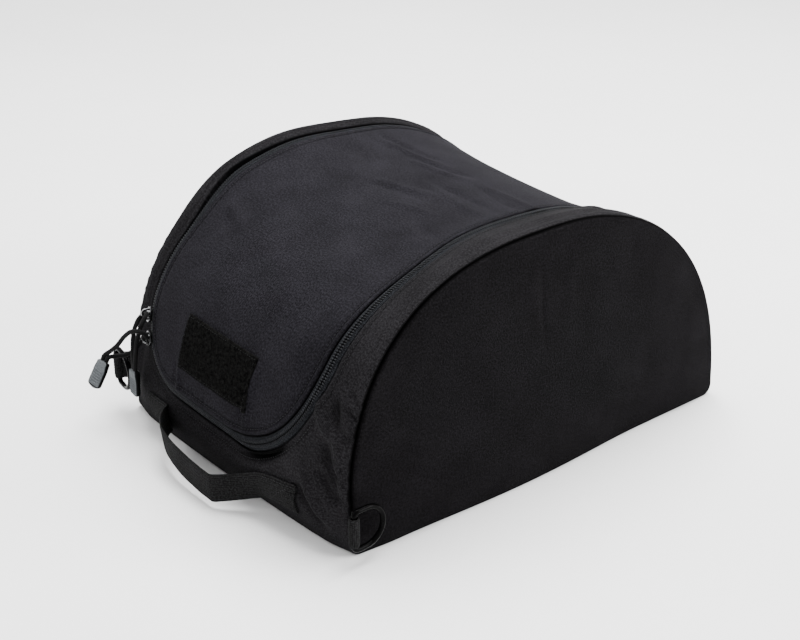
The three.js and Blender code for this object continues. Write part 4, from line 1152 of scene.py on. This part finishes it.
def grown(name, start, tree, values):
    """Runs a tree on a start mesh and keeps what it makes as a plain mesh."""
    made = placed(name, start)
    grow = made.modifiers.new("grow", "NODES")
    grow.node_group = tree
    for item in tree.interface.items_tree:
        if item.item_type == "SOCKET" and item.in_out == "INPUT" and item.name in values:
            grow[item.identifier] = values[item.name]
    bpy.context.view_layer.update()
    graph = bpy.context.evaluated_depsgraph_get()
    mesh = bpy.data.meshes.new_from_object(made.evaluated_get(graph), depsgraph=graph)
    made.modifiers.clear()
    made.data = mesh
    mesh.name = name
    print(name, "faces:", len(mesh.polygons))
    return made


def beaded(name, lines, sizes, finish):
    """Beads along several open lines; each line is its points in mm and the way up at each."""
    points, ups = (np.concatenate(part) for part in zip(*lines))
    edges, start = [], 0
    for line, _ in lines:
        edges += [(start + k, start + k + 1) for k in range(len(line) - 1)]
        start += len(line)
    mesh = bpy.data.meshes.new(name + "_lines")
    mesh.from_pydata((points * MM).tolist(), edges, [])
    mesh.attributes.new("way_up", "FLOAT_VECTOR", "POINT").data.foreach_set("vector", ups.ravel())
    values = {size: value * MM for size, value in sizes.items()}
    return grown(name, mesh, BEADS, {**values, "Finish": finish})


def wall_line(x, s, lift):
    """A line on the wall, with the way out of the cloth at each of its points."""
    points = wall(x, s, lift)
    return points, unit(wall(x, s, lift + 1.0) - points)


# %% [markdown]
# The coil is two rows of such beads, one along the inner edge of each tape, set so close that
# they read as the turns of a coil.

# %% Zip coil
COIL = {"Pitch": 2.2, "Length": 1.15, "Width": 2.9, "Height": 1.1}
COIL_AWAY = 4.7
COIL_LIFT = -0.6
coil_places = (COIL_AWAY, ZIP_WIDTH - COIL_AWAY)
coil_lines = [wall_line(*beside(walk, away), COIL_LIFT) for away in coil_places]
coil = beaded("zip_coil", coil_lines, COIL, COIL_NYLON)

# %% [markdown]
# Hook-and-loop comes in two halves, and the bag carries the soft half: a strip of fine looped
# pile. The strip itself is a thin cloth with a rounded rim, a little raised from the lid.

# %% Loop patch
PATCH = {"x": -6, "s": 102, "wide": 100, "high": 41, "seat": 0.4, "thick": 1.6, "under": 0.1}
PATCH_EDGE = np.array([0, 0.4, 0.9, 1.6])
PATCH_STEP = 2.2
PATCH_ROUND = 0.9
patch_sides = (spaced(PATCH[side], PATCH_EDGE, PATCH_STEP) - PATCH[side] / 2 for side in ("wide", "high"))
patch_u, patch_v = np.meshgrid(*patch_sides)
patch_top = PATCH["seat"] + PATCH["thick"]
rim = np.minimum(PATCH["wide"] / 2 - np.abs(patch_u), PATCH["high"] / 2 - np.abs(patch_v))
on_lid = (PATCH["x"] + patch_u, PATCH["s"] + patch_v)
face = wall(*on_lid, patch_top - PATCH_ROUND * near(rim, PATCH_EDGE[-1]) ** 2)
under = wall(*on_lid, PATCH["under"])
patch_cut = np.stack([patch_u, patch_v], -1)
patch = to_piece("loop_patch_cloth", *two_faced(face, under), LOOP_PILE, patch_cut)

# %% [markdown]
# A second tree scatters thousands of small arches over the strip, each of a few faces and
# turned by a seeded random number. From a little way off they read as fuzz.

# %% Loop pile
PILE = {"Density": 1.5 / MM**2, "Loop radius": 0.55 * MM, "Fibre radius": 0.11 * MM}
PILE_SEEDS = {"scatter": 11, "spin": 5}
LOOP_LEAN = 0.6
LOOP_SPIN = 6.28


def pile_tree():
    tree, given, add = geometry_tree("loop_pile", "Cloth", tuple(PILE), "Pile")
    ground = {"Mesh": given["Cloth"], "Density": given["Density"], "Seed": PILE_SEEDS["scatter"]}
    points = add("GeometryNodeDistributePointsOnFaces", ground)
    half_circle = {"Resolution": 4, "Sweep Angle": math.pi, "Radius": given["Loop radius"]}
    arch = add("GeometryNodeCurveArc", half_circle)
    fibre = add("GeometryNodeCurvePrimitiveCircle", {"Resolution": 3, "Radius": given["Fibre radius"]})
    strand = add("GeometryNodeCurveToMesh", {"Curve": arch, "Profile Curve": fibre})
    upright = add("GeometryNodeTransform", {"Geometry": strand, "Rotation": (math.radians(90), 0, 0)})
    leans = {"Min": (-LOOP_LEAN, -LOOP_LEAN, 0.0), "Max": (LOOP_LEAN, LOOP_LEAN, LOOP_SPIN)}
    spin = add("FunctionNodeRandomValue", {**leans, "Seed": PILE_SEEDS["spin"]}, data_type="FLOAT_VECTOR")
    by = add("FunctionNodeEulerToRotation", {"Euler": spin})
    on_cloth = {"Rotation": points.node.outputs["Rotation"], "Rotate By": by}
    turned = add("FunctionNodeRotateRotation", on_cloth, rotation_space="LOCAL")
    set_out = {"Points": points, "Instance": upright, "Rotation": turned}
    loops = add("GeometryNodeInstanceOnPoints", set_out)
    real = add("GeometryNodeRealizeInstances", {"Geometry": loops})
    painted = add("GeometryNodeSetMaterial", {"Geometry": real, "Material": given["Finish"]})
    add("NodeGroupOutput", {"Pile": painted}, out=None)
    return tree


pile_ground = bpy.data.meshes.new("pile_ground")
pile_ground.from_pydata((face.reshape(-1, 3) * MM).tolist(), [], grid_faces(*face.shape[:2]))
pile = grown("loop_pile", pile_ground, pile_tree(), {**PILE, "Finish": LOOP_PILE})

# %% [markdown]
# The carry handle is one length of 25 mm webbing, sewn flat at both ends and standing away from
# the front panel between. A table gives its line: x, place on the wall, how far it stands out,
# and how upright the strap is there. The strip between is curved, with ribs along it and thin
# rounded edges.

# %% Carry handle
HANDLE = [
    # x, s, out, upright
    (-106, 29, 0, 0), (-91, 29, 0, 0), (-76, 29, 0, 0), (-71, 28.5, 6.5, 0.1),
    (-63, 27.5, 14, 0.25), (-50, 26, 20.5, 0.5), (-28, 24, 24.5, 0.75), (-7, 22, 26, 0.85),
    (14, 20.5, 26.5, 0.85), (27, 20.5, 26.5, 0.85), (35, 22, 21.5, 0.7), (44, 24, 13, 0.45),
    (54, 27, 5, 0.2), (66, 31, 0, 0), (84, 34, 0, 0), (104, 35, 0, 0),
]
WEBBING = 25.0
WEBBING_THICK = 2.0
WEBBING_SEAT = 0.5
STRAP_STEPS = 190
STRAP_COLUMNS = 37
TAUT_FROM = 10
WEFT = {"high": 0.06, "pitch": 1.6}
RIBS = {"high": 0.09, "count": 9, "edge_power": 10, "edge": 0.35}


def soft_steps(table, count):
    """A table's rows passed through smoothly, without overshooting flat stretches."""
    table = np.asarray(table, float)
    at = np.linspace(0, len(table) - 1, count)
    low = np.minimum(at.astype(int), len(table) - 2)
    t = (at - low)[:, None]
    ends = np.concatenate([[2 * table[0] - table[1]], table, [2 * table[-1] - table[-2]]])
    a, b, c, d = ends[low], ends[low + 1], ends[low + 2], ends[low + 3]
    curve = 2 * b + (c - a) * t + (2 * a - 5 * b + 4 * c - d) * t**2 + (3 * b - a - 3 * c + d) * t**3
    return np.clip(curve / 2, np.minimum(b, c), np.maximum(b, c))


def strap_lines(table, count, columns):
    """The middle layer of the strap as rows of points across it, and its way out."""
    x, s, out, upright = soft_steps(table, count).T
    t = np.linspace(0, 1, columns)[:, None]
    lie = wall(x, s + (t - 0.5) * WEBBING, WEBBING_SEAT + WEBBING_THICK / 2)
    taut = lie[0] + (lie[-1] - lie[0]) * t[..., None]
    middle = (lie[0, :, 1] + lie[-1, :, 1]) / 2
    taut[..., 1] += (middle - taut[..., 1]) * upright
    strap = lie + (taut - lie) * np.clip(out / TAUT_FROM, 0, 1)[:, None]
    strap[..., 1] -= out
    strap = strap.transpose(1, 0, 2)
    ahead = np.gradient(strap[:, columns // 2], axis=0)
    return strap, unit(np.cross(ahead, strap[:, -1] - strap[:, 0]))


def ribbed(columns, thick):
    """Half thickness across a strap: ribs of yarn, and edges that thin out."""
    t = np.linspace(-1, 1, columns)
    flat = np.maximum(RIBS["edge"], 1 - np.abs(t) ** RIBS["edge_power"])
    return thick / 2 * flat + RIBS["high"] * np.cos(t * math.pi * RIBS["count"])


def strap_cut(wide, columns, run):
    """The flat cut of a strap: across it, and along it."""
    return np.stack(np.meshgrid(np.linspace(0, wide, columns), run), -1)


strap, strap_out = strap_lines(HANDLE, STRAP_STEPS, STRAP_COLUMNS)
strap_run = walked(strap[:, STRAP_COLUMNS // 2])
weft = WEFT["high"] * np.sin(strap_run * 2 * math.pi / WEFT["pitch"])[:, None]
through = strap_out[:, None] * (ribbed(STRAP_COLUMNS, WEBBING_THICK) + weft)[..., None]
front_face = strap + through
points, faces = two_faced(front_face, strap - through)
handle_cut = strap_cut(WEBBING, STRAP_COLUMNS, strap_run)
handle = to_piece("handle_webbing", points, faces, WEBBING_CLOTH, handle_cut)
print("handle webbing length, mm:", round(float(strap_run[-1]), 1))

# %% [markdown]
# A D-ring is bent from round wire: a straight bar, two tight bends and a half-round bow. Its bar
# stands upright in a webbing tab, and the ring swings about that bar, so each ring rides on its
# own body.

# %% Rings
RING = {"tall": 37, "long": 32, "wire": 4.4, "bend": 3.8}
RINGS = {
    "right": {"place": (164, -210.5, 31), "turn": 91, "seam": (155.9, -204.6)},
    "left": {"place": (-165.5, -211, 39), "turn": -10, "seam": (-155.9, -199.6)},
}
RING_SIDES = 20
RING_STEPS = {"bar": 14, "bend": 9, "arm": 5, "bow": 40}


def arc(middle, radius, start, end, count):
    """Points on part of a circle, between two angles."""
    turn = np.linspace(start, end, count)
    return np.stack([middle[0] + radius * np.cos(turn), middle[1] + radius * np.sin(turn)], -1)


def ring_path():
    """The middle of the wire: bar, upper bend and arm, bow, lower arm and bend."""
    half = RING["tall"] / 2 - RING["wire"] / 2
    flat = RING["long"] - RING["wire"] - half
    bend = RING["bend"]
    bar = [(0, v) for v in np.linspace(bend - half, half - bend, RING_STEPS["bar"])]
    upper = np.concatenate([
        arc((bend, half - bend), bend, math.pi, math.pi / 2, RING_STEPS["bend"])[1:],
        [(u, half) for u in np.linspace(bend, flat, RING_STEPS["arm"])[1:-1]],
    ])
    bow_of_ring = arc((flat, 0), half, math.pi / 2, -math.pi / 2, RING_STEPS["bow"])
    return np.concatenate([bar, upper, bow_of_ring, upper[::-1] * (1, -1)])


rings = {}
for side, ring in RINGS.items():
    turn = math.radians(ring["turn"])
    u, v = ring_path().T
    path = np.stack([u * math.cos(turn), u * math.sin(turn), v], -1) + np.array(ring["place"])
    points, faces = tube(path, RING["wire"] / 2, RING_SIDES, closed=True)
    rings[side] = to_piece(f"ring_{side}", points, faces, RING_METAL)


# %% [markdown]
# A tab is one strip of webbing folded round the ring's bar, its doubled tail sewn into the seam.
# Its line is drawn from above, once for each column of points on both faces, and the lines are
# stacked to the strip's width.

# %% Ring tabs
TAB = {"tall": 24.4, "wall": 1.7, "slack": 0.4, "tail": 3.6, "apart": 0.05}
TAB_COLUMNS = 27
TAB_STEPS = {"tail": 9, "fold": 44}
TAB_BLEND = {"straight": 1.2, "turn": 0.15}


def tab_outline(ring, inner):
    """The strip's line seen from above: from the seam, round the bar and back to the seam."""
    toward = np.array(ring["seam"]) - np.array(ring["place"][:2])
    long = float(np.linalg.norm(toward))
    heading = math.atan2(toward[1], toward[0])
    apart = TAB["tail"] / 2 - TAB["wall"] / 2 - TAB["apart"]
    middle = RING["wire"] / 2 + TAB["slack"] + TAB["wall"] / 2
    opening = math.asin(apart / middle)
    meets = middle * math.cos(opening) + TAB_BLEND["straight"]
    slant = apart * math.tan(heading)
    turn = opening + TAB_BLEND["turn"]
    line = np.concatenate([
        [(u, apart) for u in np.linspace(long + slant, meets, TAB_STEPS["tail"])],
        arc((0, 0), middle, turn, 2 * math.pi - turn, TAB_STEPS["fold"]),
        [(u, -apart) for u in np.linspace(meets, long - slant, TAB_STEPS["tail"])],
    ])
    ahead = unit(np.gradient(line, axis=0))
    u, v = (line + np.stack([-ahead[:, 1], ahead[:, 0]], -1) * inner).T
    c, n = math.cos(heading), math.sin(heading)
    return np.stack([u * c - v * n, u * n + v * c], -1) + np.array(ring["place"][:2])


def tab_face(ring, sign):
    """One face of the strip, as rows of points across it."""
    heights = np.linspace(-TAB["tall"] / 2, TAB["tall"] / 2, TAB_COLUMNS) + ring["place"][2]
    sheet = []
    for half, z in zip(ribbed(TAB_COLUMNS, TAB["wall"]), heights):
        line = tab_outline(ring, sign * half)
        sheet.append(np.concatenate([line, np.full((len(line), 1), z)], -1))
    return np.array(sheet).transpose(1, 0, 2)


tabs = {}
for side, ring in RINGS.items():
    inner, outer = tab_face(ring, 1), tab_face(ring, -1)
    tab_cut = strap_cut(TAB["tall"], TAB_COLUMNS, walked(inner[:, 0]))
    tabs[side] = to_piece(f"ring_tab_{side}", *two_faced(inner, outer), WEBBING_CLOTH, tab_cut)


# %% [markdown]
# A slider is a small tapered casting with a bridge over it for the pull. Plate and bridge are
# outlines swept to a thickness, with a bevel so that their edges catch the light.

# %% Sliders
SLIDER = {"long": 13, "wide": 8.6, "plate": 2.4, "nose": 3.2, "lift": 0.3, "reach": 4}
# shares of half the length and half the width, from the front of the plate to its rear
SHOULDERS = ((-0.62, 0.82), (-0.3, 1), (0.75, 1))
BRIDGE = {"long": 9.8, "high": 6.4, "wide": 3.0, "bar": 1.5}
BRIDGE_FOOT = -0.6
BRIDGE_STEPS = 17
SLIDER_TURNS = {"upper": 18.5, "lower": 35.5}
SLIDER_BEVEL = {"width": 0.35, "segments": 2, "sharp": 40}


def slider_seat(turn):
    """Middle of the slider on the zip, with the zip's run, its width and the way out."""
    def on(degrees, extra=0.0):
        r = LID["round_left"] + ZIP_WIDTH / 2 + extra
        a = math.radians(degrees)
        x, s = LEFT_TURN[0] - r * math.cos(a), LEFT_TURN[1] - r * math.sin(a)
        return wall(x, s, relief=False)

    step = SLIDER["reach"]
    run = unit(on(turn + step) - on(turn - step))
    out = unit(np.cross(run, on(turn, -step) - on(turn, step)))
    return on(turn) + out * SLIDER["lift"], run, np.cross(out, run), out


def prism(outline, low, high):
    """An outline in two of three axes swept between two levels."""
    count = len(outline)
    points = [(u, v, low) for u, v in outline] + [(u, v, high) for u, v in outline]
    faces = [list(range(count)), list(range(count, 2 * count))]
    faces += [[k, (k + 1) % count, count + (k + 1) % count, count + k] for k in range(count)]
    return np.array(points, float), faces


def slider_parts():
    a, b, n = SLIDER["long"] / 2, SLIDER["wide"] / 2, SLIDER["nose"] / 2
    plan = [(-a, -n)] + [(a * u, -b * v) for u, v in SHOULDERS] + [(a, -n)]
    plan += [(u, -v) for u, v in plan[::-1]]
    plate, plate_faces = prism(plan, 0, SLIDER["plate"])
    over = []
    half_turn = np.linspace(0, math.pi, BRIDGE_STEPS)
    for thinner, way in ((0, 1), (BRIDGE["bar"], -1)):
        long, high = BRIDGE["long"] / 2 - thinner, BRIDGE["high"] - thinner
        leg = [(long, BRIDGE_FOOT)] + [(long * math.cos(t), high * math.sin(t)) for t in half_turn]
        over += (leg + [(-long, BRIDGE_FOOT)])[::way]
    bridge, bridge_faces = prism(over, -BRIDGE["wide"] / 2, BRIDGE["wide"] / 2)
    bridge = np.stack([bridge[:, 0], bridge[:, 2], bridge[:, 1] + SLIDER["plate"]], -1)
    shift = len(plate)
    return np.concatenate([plate, bridge]), plate_faces + [[k + shift for k in f] for f in bridge_faces]


def bevelled(made, width, segments, sharp):
    """Rounds the sharp edges of a piece and keeps the result as its mesh."""
    work = bmesh.new()
    work.from_mesh(made.data)
    least = math.radians(sharp)
    edges = [e for e in work.edges if len(e.link_faces) == 2 and e.calc_face_angle() > least]
    bmesh.ops.bevel(work, geom=edges, offset=width * MM, segments=segments, profile=0.5, affect="EDGES")
    work.to_mesh(made.data)
    work.free()
    made.data.shade_smooth()
    return made


sliders = {}
for place, turn in SLIDER_TURNS.items():
    foot, run, wide, out = slider_seat(turn)
    local, faces = slider_parts()
    points = foot + local[:, :1] * run + local[:, 1:2] * wide + local[:, 2:] * out
    slider = to_piece(f"slider_{place}_metal", points, faces, SLIDER_METAL)
    sliders[place] = bevelled(slider, **SLIDER_BEVEL)


# %% [markdown]
# Each pull ends in a moulded rubber grip: a flat tongue, narrow where the cord enters, with
# raised bars across both faces so that it does not slip. It is a row of rounded cross-sections,
# and the bars are small steps in their thickness.

# %% Grips
GRIP = {"long": 25, "wide": 13.8, "thick": 6, "top": 12, "widens": (2, 9), "thins": (3, 12), "thinner": 0.2}
GRIPS = {
    "upper": {"top": (-121, -220.6, 54.5), "end": (-122, -221.2, 29.5), "face": (-0.06, -1.0, 0.05)},
    "lower": {"top": (-139, -238.5, 61.4), "end": (-141.5, -249.5, 40), "face": (0.30, -0.95, 0.3)},
}
GRIP_SIDES = 40
GRIP_TOP_STEPS = np.array([0, 0.25, 0.7])
GRIP_END_STEPS = np.array([1.0, 0.5, 0.15, 0])
GRIP_EVEN = {"from_top": 1.4, "from_end": 1.6, "count": 66}
GRIP_ROUND = {"start": 1.2, "end": 4.2, "end_power": 2.4}
GRIP_LEAST = {"start": 0.35, "end": 0.05, "thick": 0.5}
GRIP_SECTION = {"across": 0.45, "through": 0.6}
BARS = {
    "high": 0.6, "pitch": 2.3, "first": 8, "rise": (7.5, 8.5), "fall": (20, 21),
    "edge": 0.2, "inside": 0.72, "sunk": 0.18,
}
# Painted shade on the grip: its sides and a groove near its end.
GRIP_PAINTED_SHADE = {"across": (0.78, 0.9), "groove": ((0.9, 1.3), (2.2, 2.8)), "dark": 0.95}


def grip_sections():
    """Places along a grip, with its width, thickness and bars at each."""
    long = GRIP["long"]
    even = np.linspace(GRIP_EVEN["from_top"], long - GRIP_EVEN["from_end"], GRIP_EVEN["count"])
    along = np.concatenate([GRIP_TOP_STEPS, even, long - GRIP_END_STEPS])
    width = GRIP["top"] + (GRIP["wide"] - GRIP["top"]) * ease(*GRIP["widens"], along)
    thick = GRIP["thick"] * (1 - GRIP["thinner"] * ease(*GRIP["thins"], along))
    at_end = near(long - along, GRIP_ROUND["end"]) ** GRIP_ROUND["end_power"]
    at_start = near(along, GRIP_ROUND["start"]) ** 2
    end_round = np.sqrt(np.maximum(GRIP_LEAST["end"], 1 - at_end))
    start_round = np.sqrt(np.maximum(GRIP_LEAST["start"], 1 - at_start))
    width = width * end_round * start_round
    thick = thick * np.maximum(GRIP_LEAST["thick"], end_round) * start_round
    wave = np.sin((along - BARS["first"]) * 2 * math.pi / BARS["pitch"])
    bars = ease(-BARS["edge"], BARS["edge"], wave) * between(BARS["rise"], BARS["fall"], along)
    return along, width, thick, BARS["high"] * bars


def grip_piece(name, grip):
    top, end, face = (np.array(grip[k], float) for k in ("top", "end", "face"))
    down = unit(end - top)
    face = unit(face - down * (face @ down))
    wide = np.cross(face, down)
    turn = np.linspace(0, 2 * math.pi, GRIP_SIDES, endpoint=False)
    c, n = np.cos(turn), np.sin(turn)
    across = np.sign(c) * np.abs(c) ** GRIP_SECTION["across"]
    through = np.sign(n) * np.abs(n) ** GRIP_SECTION["through"]
    inner = np.abs(across) < BARS["inside"]
    along, width, thick, bars = (values[:, None] for values in grip_sections())
    depth = through * (thick / 2) + np.where(inner, np.sign(through) * (bars - BARS["sunk"]), 0)
    rows = top + down * along[..., None] + wide * (across * width / 2)[..., None] + face * depth[..., None]
    count, sides = rows.shape[:2]
    faces = grid_faces(count, sides, 0, True)
    faces += [list(range(sides)), list(range((count - 1) * sides, count * sides))]
    # Painted shade darkens the grip's sides and the groove near its end.
    groove = GRIP_PAINTED_SHADE["dark"] * between(*GRIP_PAINTED_SHADE["groove"], GRIP["long"] - along)
    edge = np.maximum(ease(*GRIP_PAINTED_SHADE["across"], np.abs(across)), groove)
    return to_piece(name, rows.reshape(-1, 3), faces, GRIP_RUBBER, crease_shade=edge)


grips = {place: grip_piece(f"grip_{place}", grip) for place, grip in GRIPS.items()}

# %% [markdown]
# The seams get their thread last, from the same tree as the zip's coil. Each line is given by
# where it lies on the cloth: round the lid's hem, round the body's opening, in two rows behind
# the lid, round the patch, and as a box with a cross at each end of the handle.

# %% Stitching
STITCH = {"Pitch": 3.1, "Length": 2.2, "Width": 0.55, "Height": 0.55}
HEM_THREAD = -0.25
BACK_ROWS = {"off": (5.0, 11.0), "x": (-128, 98), "points": 120, "lift": 0.15}
PATCH_THREAD = {"in": 1.8, "points": 40, "lift": 0.1}
BOX = {"ends": ((-103, -79), (72, 101)), "columns": (3, 33), "points": 30, "lift": 0.05}


def stitch_box(x_ends):
    """A box with a cross in it on the sewn end of the handle, between two x values."""
    middle = strap[:, STRAP_COLUMNS // 2, 0]
    near_row, far_row = (int(np.argmin(np.abs(middle - x))) for x in x_ends)
    low, high = BOX["columns"]
    a, b, c, d = (near_row, low), (far_row, low), (far_row, high), (near_row, high)
    t = np.linspace(0, 1, BOX["points"])[:, None]
    lines = []
    for start, end in ((a, b), (b, c), (c, d), (d, a), (a, c), (b, d)):
        i, j = np.round(start + np.subtract(end, start) * t).astype(int).T
        lines.append((front_face[i, j] + strap_out[i] * BOX["lift"], strap_out[i]))
    return lines


stitches = []
for away in (-TOPSTITCH, ZIP_WIDTH + TOPSTITCH):
    stitches.append(wall_line(*beside(walk, away), HEM_THREAD))
for back_off in BACK_ROWS["off"]:
    x = np.linspace(*BACK_ROWS["x"], BACK_ROWS["points"])
    stitches.append(wall_line(x, np.full(len(x), LID["back"] + back_off), BACK_ROWS["lift"]))
u = PATCH["x"] + np.array([-1, 1, 1, -1, -1]) * (PATCH["wide"] / 2 - PATCH_THREAD["in"])
v = PATCH["s"] + np.array([-1, -1, 1, 1, -1]) * (PATCH["high"] / 2 - PATCH_THREAD["in"])
for k in range(4):
    x, s = (np.linspace(*side[k:k + 2], PATCH_THREAD["points"]) for side in (u, v))
    stitches.append(wall_line(x, s, patch_top + PATCH_THREAD["lift"]))
for x_ends in BOX["ends"]:
    stitches += stitch_box(x_ends)
thread = beaded("stitching", stitches, STITCH, THREAD)

# %% [markdown]
# Last, each piece is tied to the body that carries it, and the plain solids that it stands for
# are hidden.

# %% Tie the pieces to the frame
CARRIED = [
    # piece, body, slot, solids that it stands for
    (lid, "bag", "lid_cloth", ["lid_flap"]),
    (body, "bag", "gusset_cloth", ["body_band"]),
    (end_right, "bag", "end_cloth", ["end_panel_right"]),
    (end_left, "bag", "end_cloth", ["end_panel_left"]),
    (base, "bag", "end_cloth", ["base_panel"]),
    (tape_lid, "bag", "zip_tape", ["zip_tape_lid"]),
    (tape_body, "bag", "zip_tape", ["zip_tape_body"]),
    (coil, "bag", "zip_tape", []),
    (patch, "bag", "loop_pile", ["loop_patch"]),
    (pile, "bag", "loop_pile", []),
    (handle, "bag", "webbing", ["carry_handle"]),
    (thread, "bag", "webbing", []),
    (rings["right"], "ring_right", "ring_metal", ["d_ring_right"]),
    (rings["left"], "ring_left", "ring_metal", ["d_ring_left"]),
    (tabs["right"], "bag", "webbing", ["d_ring_tab_right"]),
    (tabs["left"], "bag", "webbing", ["d_ring_tab_left"]),
    (sliders["upper"], "bag", "slider_metal", ["slider_upper"]),
    (sliders["lower"], "bag", "slider_metal", ["slider_lower"]),
    (grips["upper"], "bag", "grip_plastic", ["pull_grip_upper"]),
    (grips["lower"], "bag", "grip_plastic", ["pull_grip_lower"]),
    (cords["upper"], "bag", "pull_cord", ["pull_cord_upper"]),
    (cords["lower"], "bag", "pull_cord", ["pull_cord_lower"]),
]
for made, carrier, slot, solids in CARRIED:
    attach(made, carrier)
    if solids:
        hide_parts(*solids)

for place, cord in cords.items():
    path = cord_paths[place]
    length_of(path) * MM
